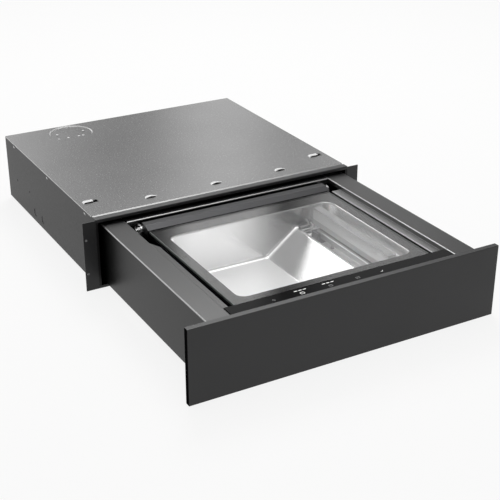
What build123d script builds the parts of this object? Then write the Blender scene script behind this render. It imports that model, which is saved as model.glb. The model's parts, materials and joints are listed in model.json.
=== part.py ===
from build123d import *
import math
import os

# Vacuum sealing drawer in millimetres. X runs to the right, Y to the back, Z up.
# The model is drawn with Y 0 at the front face of the housing and Z 0 under it.
# The drawer is drawn pulled out, with its lid down.

# Overall sizes, which the other widths, depths and heights follow
panel_width = 595.0
housing_depth = 506.0
housing_height = 135.5

# Housing of folded sheet
housing_sheet = 1.0
housing_bend = 1.2
side_top_flange = 12.0
side_front_flange = 4.25
back_flange = 10.0
side_tab_width = 9.0
side_tab_height = 5.0
side_tab_drop = 3.0
side_tab_first = 52.0
side_tab_last_inset = 56.0
side_knockout_radius = 8.5
side_knockout_depth = 0.5
side_knockout_z = 20.4
side_knockout_first = 296.0
side_knockout_pitch = 45.0
side_hole_radius = 2.0
side_hole_z = 55.4
side_hole_last_inset = 60.0
side_hole_pitch = 76.0

# Front frame with the ears that are screwed to the cabinet
ear_width = 25.0
frame_sheet = 1.5
frame_bottom = -1.0
frame_mouth_bottom = 4.0
frame_top_border = 6.0
frame_strip_depth = 14.0
frame_side_gap = 0.25
frame_corner_gap = 0.6
frame_tab_length = 14.5
frame_tab_height = 30.0
frame_tab_low_z = 40.0
frame_tab_high_z = 95.0
ear_hole_radius = 2.25
ear_hole_inset = 5.1
ear_hole_low_z = 32.8
ear_hole_high_z = 99.6

# Top cover
cover_front_y = 20.0
cover_tongue_front_y = 2.0
cover_gap = 0.1
bridge_side_inset = 9.25
bridge_length = 29.0
bridge_front_y = 77.5
bridge_width = 12.0
bridge_rise = 2.2
bridge_strap_length = 19.0
bridge_ramp = 3.0
lance_radius = 12.0
lance_rise = 2.6
lance_front_y = 47.0
lance_slot = 1.6
lance_left_x = -138.0
lance_right_x = 142.0
recess_x = -138.5
recess_rear_gap = 1.0
recess_radius = 47.0
recess_chord = 29.5
recess_slope = 1.6
recess_depth = 1.8
recess_boss_radius = 2.6
recess_boss_height = 1.4
recess_boss_places = ((-37.0, -25.5), (-15.5, -25.5), (8.0, -25.5), (18.0, -25.5), (-30.5, 2.5), (28.0, 2.0))
recess_hole_radius = 1.6
recess_hole_places = ((-28.5, -26.0), (-10.5, -26.0), (28.5, -26.0), (28.0, 9.0))

# Screws
screw_head_radius = 3.0
screw_head_height = 1.8
screw_radius = 1.5
screw_gap = 0.1
screw_end = 1.0
bracket_screw_inset = 50.0

# Housing back
vent_width = 3.0
vent_height = 34.0
vent_pitch = 8.0
vent_count = 12
vent_x = 90.0
vent_z = 70.0
gland_side_inset = 54.25
gland_z = 40.0
gland_radius = 9.0
gland_flange_radius = 12.0
gland_bore_radius = 3.75
gland_inner_length = 8.0
gland_outer_length = 6.0
gland_flange_length = 2.0
buffer_radius = 7.0
buffer_x = 150.0
buffer_z = 60.0
buffer_gap = 0.3

# Drawer body of folded sheet
drawer_side_gap = 10.5
drawer_top_gap = 5.0
drawer_rear_gap = 14.0
drawer_left_inside = 98.0
drawer_sheet = 1.2
drawer_bend = 1.4
drawer_bottom = 11.5
ledge_width = 43.5
ledge_drop = 8.8
shelf_width = 17.5
floor_flange = 15.0
floor_side_gap = 0.9
pocket_front_right_y = -54.0
pocket_front_left_y = -119.0
pocket_slant = 38.0
pocket_floor_drop = 17.7

# Front panel, a folded pan, and the plate that closes it
panel_overhang = 3.0
panel_top_drop = 7.0
panel_bottom = -5.5
panel_depth = 10.7
panel_gap = 3.2
panel_sheet = 1.2
panel_edge_radius = 1.0
carrier_sheet = 1.5
carrier_gap = 0.1
carrier_tab_length = 16.0
carrier_tab_bottom = 22.0
carrier_tab_top = 108.0

# Telescopic runners
runner_setback = 12.0
runner_z = 60.0
runner_sheet = 1.2
runner_bend = 1.0
runner_inner_half = 14.0
runner_middle_half = 17.5
runner_outer_half = 22.5
runner_inner_reach = 7.45
runner_middle_reach = 7.1
runner_outer_reach = 8.8
runner_middle_gap = 1.0
runner_outer_gap = 0.65
cage_margin = 8.0
cage_ball_pitch = 31.0
cage_inner_ball = 0.95
cage_inner_strip = 0.5
cage_inner_width = 3.0
cage_outer_ball = 1.6
cage_outer_strip = 0.8
cage_outer_width = 4.6
cage_web_gap = 2.4
bracket_sheet = 2.0
bracket_top = 84.0
bracket_foot = 33.0

# Push latch under the drawer
latch_half_width = 13.0
latch_length = 55.0
latch_height = 11.2
latch_bore_z = 8.0
latch_tip_radius = 2.4
latch_stem = 9.0
latch_stroke = 5.0
latch_depth = 24.0
latch_gap = 0.3
striker_rear_y = 28.0
striker_thickness = 8.0
striker_half_width = 11.0
striker_bottom = 4.4
running_gap = 0.05

# Machine bay behind the chamber
bay_front_y = -13.0
bay_sheet = 1.2
bulkhead_flange = 12.0
bay_cover_front_y = 0.2
bay_side_gap = 0.9
bay_cover_lift = 0.2

# Touch bar between the panel and the lid
bar_front_gap = 0.3
bar_depth = 30.4
bar_side_gap = 0.85
bar_glass = 3.0
bar_glass_edge = 0.5
bar_holder_wall = 2.0
bar_holder_floor = 1.5
bar_skirt_drop = 11.7
bar_board_side_gap = 11.4
bar_board_gap = 1.2
bar_board_thickness = 1.6
bar_rib_height = 0.8
bar_rib_width = 2.0
bar_rib_places = (-152.0, -51.0, 51.0, 152.0)
touch_pad = 12.0
touch_pad_height = 1.2
touch_pad_places = (-134.5, -83.0, -30.0, 23.5, 71.6)

# Vacuum chamber, drawn into one sheet
tub_sheet = 1.2
tub_drop = 14.5
tub_border_side = 18.0
tub_border_front = 19.3
tub_border_rear = 18.0
tub_corner = 24.0
tub_draft = 4.0
tub_flange_side_gap = 7.75
tub_flange_front_gap = 8.5
tub_flange_rear_gap = 51.0
tub_flange_corner = 9.0
tub_floor_z = 23.7
tub_ramp_foot_inset = 139.0
tub_ridge_inset = 76.0
tub_ridge_end_inset = 68.0
tub_ridge_z = 69.7
tub_trough_inset = 62.0
tub_trough_z = 49.7
tub_floor_radius = 7.0
tub_foot_radius = 12.0
tub_ridge_radius = 6.0
tub_ridge_end_radius = 3.5
support_sheet = 1.5
support_inset = 6.0
support_flange = 8.5
support_front_gap = 12.7
support_rear_gap = 13.0

# Gasket on the rim of the chamber
seal_width = 8.0
seal_height = 2.3
seal_overhang = 8.0
seal_corner = 30.0
seal_lid_gap = 0.3

# Lid of glass with its hinge rail
glass_thickness = 5.0
glass_side_gap = 7.75
glass_front_gap = 4.0
glass_rear_gap = 23.0
glass_corner = 4.0
glass_edge = 0.6
rail_overhang = 2.0
rail_rear_gap = 13.0
rail_top_depth = 15.0
rail_depth = 28.0
rail_top_above_glass = 6.7
rail_nose_height = 0.8
rail_lip = 6.2
rail_slot_gap = 0.2
rail_edge = 0.8
hinge_inset = 4.0
hinge_rise = 2.0
hinge_radius = 3.0
hinge_bracket_gap = 0.5
hinge_bracket = 4.0
hinge_bracket_depth = 25.0
hinge_bracket_head = 6.5
hinge_bracket_drop = 28.0
hinge_flange_height = 20.0
hinge_flange_width = 12.5
hinge_flange = 3.0
hinge_screw_inset = 5.0
hinge_shaft_overhang = 9.5
spring_wire_radius = 0.7
spring_radius = 5.4
spring_pitch = 1.9
spring_turns = 3
spring_leg = 12.0
spring_bracket_gap = 0.9

# Sealing bar, its end blocks and its lifts
seal_bar_inset = 40.0
seal_bar_width = 16.0
seal_bar_rise = 10.5
seal_bar_height = 13.0
seal_bar_front_gap = 17.7
seal_bar_rear_gap = 36.0
seal_bar_edge = 1.2
heater_width = 6.0
heater_height = 0.4
end_block_front_gap = 11.4
end_block_rear_gap = 27.0
end_block_length = 22.0
end_block_width = 28.0
end_block_height = 20.0
end_block_gap = 0.35
lift_inset = 42.0
lift_pin_radius = 3.0
lift_pin_hole_gap = 0.6
lift_cylinder_radius = 11.0
lift_cylinder_gap = 0.3
lift_pin_depth = 14.0
lift_stroke = 5.8
lift_bore_spare = 3.0

# Counter bar under the lid
counter_width = 16.0
counter_front_gap = 10.7
counter_rear_gap = 22.0
counter_press_gap = 0.3
counter_bar_height = 10.6
counter_edge = 1.5

# Bent wire that holds the mouth of the bag
clip_radius = 1.25
clip_bend = 4.0
clip_gap = 0.1
clip_reach_inset = 36.4
clip_hook_inset = 46.0
clip_rear_gap = 11.0
clip_z = 66.0
clip_hook_z = 78.0

# Vacuum pump on its rubber mounts
pump_axis_y = 36.0
pump_axis_z = 64.0
motor_left_gap = 16.85
motor_right_x = -75.0
motor_radius = 38.0
motor_wall = 8.0
pump_plate_bottom = 22.0
pump_plate = 2.0
pump_plate_left_gap = 11.85
pump_plate_half_depth = 36.0
saddle_half_width = 16.0
saddle_inset = 20.0
mount_radius = 9.0
mount_inset = 14.0
head_gap = 0.2
head_right_x = -12.0
head_half_depth = 37.0
head_top = 102.0
head_corner = 5.0
head_fin_depth = 5.0
head_fin_width = 3.0
head_fin_pitch = 8.0
port_radius = 6.0
port_length = 6.0
rotor_shaft_radius = 4.0
rotor_left_gap = 4.85
rotor_reach = 13.0
armature_radius = 24.0
armature_gap = 8.0
pump_fan_radius = 33.0
pump_fan_disc = 1.2
pump_fan_depth = 7.0
pump_fan_hub = 9.0
pump_fan_blades = 9

# Valve block
valve_left_x = 100.0
valve_right_gap = 11.85
valve_depth = 34.0
valve_height = 34.0
valve_drop = 40.5
coil_radius = 10.0
coil_height = 30.0
coil_pitch = 27.0
coil_cap_radius = 5.0
coil_cap_height = 3.0

# Hoses
hose_radius = 5.0
hose_passage_gap = 0.8
suction_inset = 20.0
suction_z = 62.0
nipple_radius = 5.0
nipple_length = 12.0
nipple_bore = 3.0
pump_hose_y = 18.0
pump_hose_z = 88.0
valve_hose_y = 2.0
valve_hose_drop = 8.0
hose_lead = 22.0
lift_hose_radius = 3.0
lift_hose_z = 30.0
lift_hose_top_z = 55.0
lift_hose_lead = 22.0
lift_hose_drop = 28.0

# Transformer and power board
transformer_left_x = 10.0
transformer_right_x = 78.0
transformer_front_y = -8.0
transformer_rear_y = 44.0
transformer_hose_gap = 1.1
transformer_coil_inset = 12.0
transformer_coil_bulge = 8.0
board_left_x = 4.0
board_right_gap = 58.85
board_bottom = 24.0
board_drop = 10.5
board_thickness = 1.6
board_standoff = 7.0
board_standoff_radius = 3.0
board_inset = 6.0
heatsink_height = 22.0
heatsink_base = 3.0
heatsink_fin = 2.0
heatsink_pitch = 6.0
heatsink_fins = 7
capacitor_radius = 11.0
capacitor_height = 25.0
capacitor_count = 2
capacitor_gap = 4.4
relay_size = 16.0
relay_height = 18.0
relay_count = 3
relay_gap = 8.0

# Cooling fan on the back of the drawer
fan_size = 50.0
fan_depth = 15.0
fan_side_gap = 27.85
fan_z = 70.0
fan_hole_radius = 22.5
fan_blade_gap = 1.0
fan_hub_radius = 9.5
fan_spider_depth = 2.0
fan_spider_width = 3.0
fan_pin_radius = 1.5
fan_blades = 7
fan_blade_thickness = 1.2
fan_blade_angle = 38.0
fan_corner = 4.0

# Widths, faces and middle lines that several pieces share
frame_half = panel_width / 2 - panel_overhang
frame_inner_x = frame_half - ear_width
half_width = frame_inner_x - frame_side_gap
housing_width = 2 * half_width
side_inner_x = half_width - housing_sheet
gland_x = gland_side_inset - half_width
drawer_half = half_width - drawer_side_gap
ledge_x = drawer_half - ledge_width
shelf_x = ledge_x - shelf_width
floor_half = shelf_x - floor_side_gap
bar_half = ledge_x - bar_side_gap
bar_board_half = bar_half - bar_board_side_gap

# Depths
drawer_closed_rear_y = housing_depth - drawer_rear_gap
drawer_travel = housing_depth - drawer_left_inside
drawer_rear_y = drawer_closed_rear_y - drawer_travel
bay_rear_y = drawer_rear_y - drawer_sheet
bay_inner_y = bay_front_y + bay_sheet
panel_rear_y = -drawer_travel - panel_gap
panel_front_y = panel_rear_y - panel_depth
bar_front_y = panel_rear_y + bar_front_gap
bar_rear_y = bar_front_y + bar_depth
recess_y = housing_depth - recess_rear_gap - recess_radius
side_tab_pitch = (housing_depth - side_tab_first - side_tab_last_inset) / 2

# Heights
cover_underside = housing_height - housing_sheet
strip_underside = housing_height - frame_sheet
frame_mouth_top = housing_height - frame_top_border
panel_top = housing_height - panel_top_drop
drawer_top = frame_mouth_top - drawer_top_gap
shelf_top = drawer_top - ledge_drop
pocket_floor_z = shelf_top - pocket_floor_drop
floor_bottom = drawer_bottom + drawer_sheet
floor_top = floor_bottom + drawer_sheet
bar_glass_bottom = drawer_top - bar_glass
bar_skirt_bottom = shelf_top - bar_skirt_drop

# Runners, from the drawer outwards
runner_length = housing_depth - runner_setback - drawer_rear_gap
runner_face_x = shelf_x + drawer_sheet
inner_tip_x = runner_face_x + runner_sheet + runner_inner_reach
middle_web_x = inner_tip_x + runner_middle_gap
middle_tip_x = middle_web_x - runner_middle_reach
outer_web_x = middle_web_x + runner_sheet + runner_outer_gap
outer_tip_x = outer_web_x - runner_outer_reach
bracket_x = outer_web_x + runner_sheet
runner_inner_y = runner_setback - drawer_travel
runner_middle_y = runner_setback - drawer_travel / 2
bracket_screw_pitch = runner_length / 2 - bracket_screw_inset

# Chamber and gasket
tub_flange_top = drawer_top - tub_drop
tub_flange_bottom = tub_flange_top - tub_sheet
tub_flange_half = shelf_x - tub_flange_side_gap
tub_flange_front_y = bar_rear_y + tub_flange_front_gap
tub_flange_rear_y = bay_front_y - tub_flange_rear_gap
tub_half = tub_flange_half - tub_border_side
tub_front_y = tub_flange_front_y + tub_border_front
tub_rear_y = tub_flange_rear_y - tub_border_rear
tub_ramp_foot_x = tub_half - tub_ramp_foot_inset
tub_ridge_x = tub_half - tub_ridge_inset
tub_ridge_end_x = tub_half - tub_ridge_end_inset
tub_trough_x = tub_half - tub_trough_inset
seal_bar_x = tub_half - seal_bar_inset
suction_x = tub_half - suction_inset
support_x = tub_flange_half - support_inset
support_front_y = tub_front_y + support_front_gap
support_rear_y = tub_rear_y - support_rear_gap

# Lid
glass_bottom = tub_flange_top + seal_height + seal_lid_gap
glass_top = glass_bottom + glass_thickness
glass_half = shelf_x - glass_side_gap
glass_front_y = bar_rear_y + glass_front_gap
glass_rear_y = bay_front_y - glass_rear_gap
rail_half = glass_half + rail_overhang
rail_rear_y = bay_front_y - rail_rear_gap
rail_fold_y = rail_rear_y - rail_top_depth
rail_nose_y = rail_rear_y - rail_depth
rail_top = glass_top + rail_top_above_glass
hinge_y = rail_rear_y - hinge_inset
hinge_z = tub_flange_top + hinge_rise
hinge_bracket_front_y = bay_front_y - hinge_bracket_depth
hinge_bracket_bottom = hinge_z - hinge_bracket_drop

# Sealing bar and counter bar
seal_bar_bottom = tub_trough_z + seal_bar_rise
seal_bar_top = seal_bar_bottom + seal_bar_height
seal_bar_front_y = tub_front_y + seal_bar_front_gap
seal_bar_rear_y = tub_rear_y - seal_bar_rear_gap
end_block_front_y = tub_front_y + end_block_front_gap
end_block_rear_y = tub_rear_y - end_block_rear_gap
lift_front_y = seal_bar_front_y + lift_inset
lift_rear_y = seal_bar_rear_y - lift_inset
counter_bar_bottom = seal_bar_top + heater_height + lift_stroke + counter_press_gap
counter_seam_z = counter_bar_bottom + counter_bar_height
counter_front_y = tub_front_y + counter_front_gap
counter_rear_y = tub_rear_y - counter_rear_gap
clip_right_x = tub_half - clip_reach_inset
clip_hook_x = tub_half - clip_hook_inset
clip_y = tub_rear_y - clip_rear_gap

# Machines in the bay
motor_left_x = motor_left_gap - floor_half
pump_plate_left_x = pump_plate_left_gap - floor_half
rotor_left_x = rotor_left_gap - floor_half
rotor_right_x = motor_right_x + rotor_reach
valve_right_x = floor_half - valve_right_gap
valve_top = drawer_top - valve_drop
valve_bottom = valve_top - valve_height
valve_hose_z = valve_top - valve_hose_drop
transformer_top = min(pump_hose_z, valve_hose_z) - hose_radius - transformer_hose_gap
nipple_end_y = tub_rear_y + nipple_length
board_right_x = floor_half - board_right_gap
board_top = drawer_top - board_drop
fan_x = floor_half - fan_side_gap


def block(x0, x1, y0, y1, z0, z1):
    """A box between two corners."""
    return Pos((x0 + x1) / 2, (y0 + y1) / 2, (z0 + z1) / 2) * Box(x1 - x0, y1 - y0, z1 - z0)


def rod(start, direction, radius, length):
    """A round rod from a point along a direction."""
    foot = (Align.CENTER, Align.CENTER, Align.MIN)
    return Plane(origin=start, z_dir=direction) * Cylinder(radius, length, align=foot)


def rounded_plate(x0, x1, y0, y1, z0, z1, corner):
    """A flat plate with round corners, seen from above."""
    outline = RectangleRounded(x1 - x0, y1 - y0, corner)
    return extrude(Pos((x0 + x1) / 2, (y0 + y1) / 2, z0) * outline, z1 - z0)


def cross_plane(y):
    """The upright plane across the drawer at a depth, drawn in X and Z, facing forward."""
    return Plane(origin=(0, y, 0), x_dir=(1, 0, 0), z_dir=(0, -1, 0))


def side_plane(x):
    """The upright plane along the drawer, drawn in Y and Z, facing right."""
    return Plane(origin=(x, 0, 0), x_dir=(0, 1, 0), z_dir=(1, 0, 0))


def folded_sheet(points, thickness, bend, plane, length):
    """A sheet folded along the middle line through the points and pulled to a length."""
    middle_line = FilletPolyline(*points, radius=bend)
    return extrude(plane * trace(middle_line, thickness), length)


def mirrored(shape):
    """The same piece on the left side."""
    return mirror(shape, about=Plane.YZ)


def group(shapes):
    """Separate solids that share one node."""
    return Compound([solid for shape in shapes for solid in shape.solids()])


def screw(head_face, direction, thickness):
    """A pan head screw that clamps a thickness, with its head on a face."""
    back = -Vector(*direction)
    head = rod(head_face, tuple(back), screw_head_radius, screw_head_height)
    shank = rod(head_face, direction, screw_radius, thickness + screw_end)
    return head + shank


def screw_hole(head_face, direction, thickness):
    """The hole that a screw passes through."""
    return rod(head_face, direction, screw_radius + screw_gap, thickness + 2 * screw_end)


# Housing

def ear_screws():
    """Head faces and directions of the screws through the tabs behind the ears."""
    head_x = frame_inner_x + frame_sheet
    y = frame_sheet + frame_tab_length / 2
    places = []
    for z in (frame_tab_low_z, frame_tab_high_z):
        places.append(((head_x, y, z), (-1, 0, 0)))
        places.append(((-head_x, y, z), (1, 0, 0)))
    return places


def bracket_screws():
    """Head faces and directions of the screws through the feet of the runner brackets."""
    x = bracket_x + bracket_sheet + bracket_foot / 2
    z = housing_sheet + bracket_sheet
    places = []
    for count in range(3):
        y = runner_setback + bracket_screw_inset + count * bracket_screw_pitch
        places.append(((x, y, z), (0, 0, -1)))
        places.append(((-x, y, z), (0, 0, -1)))
    return places


def tab_clamp():
    """Thickness clamped by a screw behind an ear."""
    return frame_sheet + frame_side_gap + housing_sheet


def make_housing_base():
    """Bottom sheet of the housing."""
    base = block(-half_width, half_width, frame_sheet, housing_depth, 0, housing_sheet)
    for place, direction in bracket_screws():
        base -= screw_hole(place, direction, housing_sheet + bracket_sheet)
    return base


def make_housing_side():
    """Right side sheet with its turned top and front edges."""
    wall_x = half_width - housing_sheet / 2
    flange_z = cover_underside - housing_sheet / 2
    rear_y = housing_depth - housing_sheet
    points = [
        (wall_x, housing_sheet),
        (wall_x, flange_z),
        (half_width - side_top_flange, flange_z),
    ]
    side = folded_sheet(points, housing_sheet, housing_bend, cross_plane(rear_y), rear_y - cover_front_y)
    side += block(
        side_inner_x, half_width, frame_sheet, cover_front_y,
        housing_sheet, strip_underside - frame_corner_gap,
    )
    side += block(
        half_width - side_front_flange, half_width, frame_sheet - housing_sheet, frame_sheet,
        frame_mouth_bottom + frame_side_gap, frame_mouth_top - frame_side_gap,
    )
    side += block(
        half_width - side_front_flange, half_width, frame_sheet, frame_sheet + housing_sheet,
        frame_mouth_bottom + frame_side_gap, frame_mouth_top - frame_side_gap,
    )
    for place, direction in ear_screws():
        side -= screw_hole(place, direction, tab_clamp())
    for count in range(3):
        y = side_tab_first + count * side_tab_pitch
        top = cover_underside - side_tab_drop
        bottom = top - side_tab_height
        side -= block(
            side_inner_x - housing_sheet, half_width + housing_sheet,
            y - side_tab_width / 2, y + side_tab_width / 2, bottom, top,
        )
        tongue = Polyline(
            (side_inner_x, bottom), (half_width, bottom),
            (half_width + housing_sheet, top - housing_sheet), (half_width, top - housing_sheet),
            (side_inner_x, bottom),
        )
        middle = side_tab_width / 3
        side += extrude(cross_plane(y + middle) * make_face(tongue), 2 * middle)
    for count in range(2):
        y = side_knockout_first + count * side_knockout_pitch
        start = (half_width - side_knockout_depth, y, side_knockout_z)
        side -= rod(start, (1, 0, 0), side_knockout_radius, side_knockout_depth)
        start = (side_inner_x - side_knockout_depth, y, side_knockout_z)
        side += rod(start, (1, 0, 0), side_knockout_radius - housing_sheet / 4, side_knockout_depth)
    for count in range(2):
        y = housing_depth - side_hole_last_inset - count * side_hole_pitch
        start = (side_inner_x - housing_sheet, y, side_hole_z)
        side -= rod(start, (1, 0, 0), side_hole_radius, 3 * housing_sheet)
    return side


def make_housing_back():
    """Rear sheet with two fields of vents and the hole for the lead gland."""
    front_y = housing_depth - housing_sheet
    back = block(-half_width, half_width, front_y, housing_depth, housing_sheet, cover_underside)
    flange = block(
        side_inner_x - housing_sheet, side_inner_x, front_y - back_flange, front_y,
        housing_sheet, cover_underside - 2 * housing_sheet,
    )
    back += flange + mirrored(flange)
    field = (vent_count - 1) * vent_pitch
    for centre in (-vent_x, vent_x):
        for count in range(vent_count):
            x = centre - field / 2 + count * vent_pitch
            back -= block(
                x - vent_width / 2, x + vent_width / 2,
                front_y - housing_sheet, housing_depth + housing_sheet,
                vent_z - vent_height / 2, vent_z + vent_height / 2,
            )
    hole_start = (gland_x, front_y - housing_sheet, gland_z)
    return back - rod(hole_start, (0, 1, 0), gland_radius + running_gap, 3 * housing_sheet)


def bridge_lance(x0):
    """The hole and the raised strap of one lanced bridge that starts at x0."""
    y1 = bridge_front_y + bridge_width
    middle_z = housing_height - housing_sheet / 2
    hole = block(x0, x0 + bridge_length, bridge_front_y, y1, cover_underside - 1, housing_height + 1)
    points = [
        (x0 - housing_sheet, middle_z),
        (x0, middle_z),
        (x0 + bridge_ramp, middle_z + bridge_rise),
        (x0 + bridge_strap_length, middle_z + bridge_rise),
    ]
    strap = folded_sheet(points, housing_sheet, housing_sheet, cross_plane(y1 - lance_slot),
                         bridge_width - 2 * lance_slot)
    return hole, strap


def half_moon_lance(x):
    """The hole and the hood of one half-moon lance."""
    ball = (lance_radius ** 2 + lance_rise ** 2) / (2 * lance_rise)
    centre = Pos(x, lance_front_y, housing_height + lance_rise - ball)
    span = lance_radius + housing_sheet
    keep = block(x - span, x + span, lance_front_y, lance_front_y + span,
                 cover_underside, housing_height + lance_rise)
    hood = (centre * Sphere(ball) - centre * Sphere(ball - housing_sheet)) & keep
    hole_radius = math.sqrt((ball - housing_sheet) ** 2 - (ball - lance_rise) ** 2)
    disc = rod((x, lance_front_y, cover_underside - 1), (0, 0, 1), hole_radius, housing_sheet + 2)
    half = block(x - span, x + span, lance_front_y - lance_slot, lance_front_y + span,
                 cover_underside - 1, housing_height + 1)
    return disc & half, hood


def round_recess():
    """The hole for the round recess with its straight front and the dished sheet that fills it."""
    low = housing_height - recess_depth
    front_y = recess_y - recess_chord
    reach = 2 * recess_radius
    foot = (Align.CENTER, Align.CENTER, Align.MIN)
    outer = Pos(recess_x, recess_y, low - housing_sheet) * Cone(
        recess_radius - recess_slope, recess_radius, recess_depth + housing_sheet, align=foot,
    )
    inner_radius = recess_radius - housing_sheet
    inner = Pos(recess_x, recess_y, low) * Cone(
        inner_radius - recess_slope, inner_radius, recess_depth, align=foot,
    )
    outer &= block(recess_x - reach, recess_x + reach, front_y, front_y + reach, 0, 2 * housing_height)
    inner &= block(recess_x - reach, recess_x + reach, front_y + housing_sheet, front_y + reach,
                   0, 2 * housing_height)
    dish = outer - inner
    for across, along in recess_boss_places:
        place = (recess_x + across, recess_y + along, low)
        dish += rod(place, (0, 0, 1), recess_boss_radius, recess_boss_height)
    for across, along in recess_hole_places:
        place = (recess_x + across, recess_y + along, 0)
        dish -= rod(place, (0, 0, 1), recess_hole_radius, housing_height)
    hole = rod((recess_x, recess_y, cover_underside - 1), (0, 0, 1),
               recess_radius - recess_slope / 2, housing_sheet + 2)
    hole &= block(recess_x - reach, recess_x + reach, front_y + housing_sheet / 2, front_y + reach,
                  0, 2 * housing_height)
    return hole, dish


def make_top_cover():
    """Top sheet, stepped down at the front to pass under the strip of the frame."""
    top_z = housing_height - housing_sheet / 2
    tongue_z = strip_underside - cover_gap - housing_sheet / 2
    points = [
        (cover_tongue_front_y, tongue_z),
        (frame_strip_depth, tongue_z),
        (cover_front_y, top_z),
        (housing_depth, top_z),
    ]
    cover = folded_sheet(points, housing_sheet, housing_bend, side_plane(-half_width), housing_width)
    corner = block(side_inner_x - frame_side_gap, half_width + 1, cover_tongue_front_y - 1, cover_front_y,
                   tongue_z - 2, housing_height + 1)
    cover -= corner + mirrored(corner)
    outer_x = half_width - bridge_side_inset
    for x0 in (outer_x - bridge_length, -outer_x):
        hole, strap = bridge_lance(x0)
        cover = cover - hole + strap
    for x in (lance_left_x, 0, lance_right_x):
        hole, hood = half_moon_lance(x)
        cover = cover - hole + hood
    hole, dish = round_recess()
    return cover - hole + dish


def make_front_frame():
    """Sheet frame round the mouth, with its top strip, its ears and the tabs behind them."""
    edge = frame_sheet / 2
    points = [
        (edge, frame_mouth_top),
        (edge, housing_height - edge),
        (frame_strip_depth, housing_height - edge),
    ]
    frame = folded_sheet(points, frame_sheet, housing_bend, side_plane(-frame_inner_x), 2 * frame_inner_x)
    frame += block(-frame_inner_x, frame_inner_x, 0, frame_sheet, frame_bottom, frame_mouth_bottom)
    ear = block(frame_inner_x, frame_half, 0, frame_sheet, frame_bottom, strip_underside)
    for z in (ear_hole_low_z, ear_hole_high_z):
        x = frame_half - ear_hole_inset
        ear -= rod((x, -1, z), (0, 1, 0), ear_hole_radius, frame_sheet + 2)
    for z in (frame_tab_low_z, frame_tab_high_z):
        ear += block(frame_inner_x, frame_inner_x + frame_sheet, 0, frame_sheet + frame_tab_length,
                     z - frame_tab_height / 2, z + frame_tab_height / 2)
    frame += ear + mirrored(ear)
    for place, direction in ear_screws():
        frame -= screw_hole(place, direction, tab_clamp())
    return frame


def make_housing_screws():
    """Screws of the frame tabs and of the runner brackets."""
    screws = [screw(place, direction, tab_clamp()) for place, direction in ear_screws()]
    clamp = housing_sheet + bracket_sheet - screw_end
    screws += [screw(place, direction, clamp) for place, direction in bracket_screws()]
    return group(screws)


def make_lead_gland():
    """Gland that the mains lead leaves by."""
    inner_y = housing_depth - housing_sheet - gland_inner_length
    length = gland_inner_length + housing_sheet + gland_outer_length
    gland = rod((gland_x, inner_y, gland_z), (0, 1, 0), gland_radius, length)
    gland += rod((gland_x, housing_depth, gland_z), (0, 1, 0), gland_flange_radius, gland_flange_length)
    return gland - rod((gland_x, inner_y - 1, gland_z), (0, 1, 0), gland_bore_radius, length + 2)


def make_rear_buffers():
    """Rubber stops on the back, which the closed drawer just clears."""
    start_y = drawer_closed_rear_y + buffer_gap
    length = housing_depth - housing_sheet - start_y
    return group(
        rod((x, start_y, buffer_z), (0, 1, 0), buffer_radius, length) for x in (-buffer_x, buffer_x)
    )


# Push latch

def latch_tip_y():
    """Where the tip of the plunger waits for the striker."""
    return striker_rear_y + drawer_travel + latch_gap


def latch_front_y():
    """Front face of the latch body."""
    return latch_tip_y() + latch_stem


def make_latch_body():
    """Body of the push latch on the housing base."""
    y0 = latch_front_y()
    body = block(-latch_half_width, latch_half_width, y0, y0 + latch_length,
                 housing_sheet, housing_sheet + latch_height)
    depth = latch_depth + latch_stroke + latch_gap
    return body - rod((0, y0, latch_bore_z), (0, 1, 0), latch_tip_radius + running_gap, depth)


def make_latch_plunger():
    """Plunger of the push latch."""
    length = latch_stem + latch_depth
    return rod((0, latch_tip_y(), latch_bore_z), (0, 1, 0), latch_tip_radius, length)


def make_latch_striker():
    """Block under the drawer floor that meets the plunger."""
    return block(-striker_half_width, striker_half_width, striker_rear_y - striker_thickness,
                 striker_rear_y, striker_bottom, floor_bottom)


# Telescopic runners

def channel(web_x, tip_x, half, start_y):
    """One runner member, a channel with its web at web_x and its flanges pointing at tip_x."""
    edge_z = half - runner_sheet / 2
    points = [
        (tip_x, runner_z + edge_z),
        (web_x, runner_z + edge_z),
        (web_x, runner_z - edge_z),
        (tip_x, runner_z - edge_z),
    ]
    plane = cross_plane(start_y + runner_length)
    return folded_sheet(points, runner_sheet, runner_bend, plane, runner_length)


def make_runner_inner():
    """Member on the side of the drawer."""
    return channel(runner_face_x + runner_sheet / 2, inner_tip_x, runner_inner_half, runner_inner_y)


def make_runner_middle():
    """Member between the drawer and the housing."""
    return channel(middle_web_x + runner_sheet / 2, middle_tip_x, runner_middle_half, runner_middle_y)


def make_runner_outer():
    """Member on the bracket of the housing."""
    return channel(outer_web_x + runner_sheet / 2, outer_tip_x, runner_outer_half, runner_setback)


def ball_row(x0, width, z, strip, ball, y0, y1):
    """A cage strip with its row of balls."""
    row = block(x0, x0 + width, y0, y1, z - strip / 2, z + strip / 2)
    count = int((y1 - y0) // cage_ball_pitch)
    start = (y0 + y1) / 2 - (count - 1) * cage_ball_pitch / 2
    for index in range(count):
        row += Pos(x0 + width / 2, start + index * cage_ball_pitch, z) * Sphere(ball)
    return row


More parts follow.
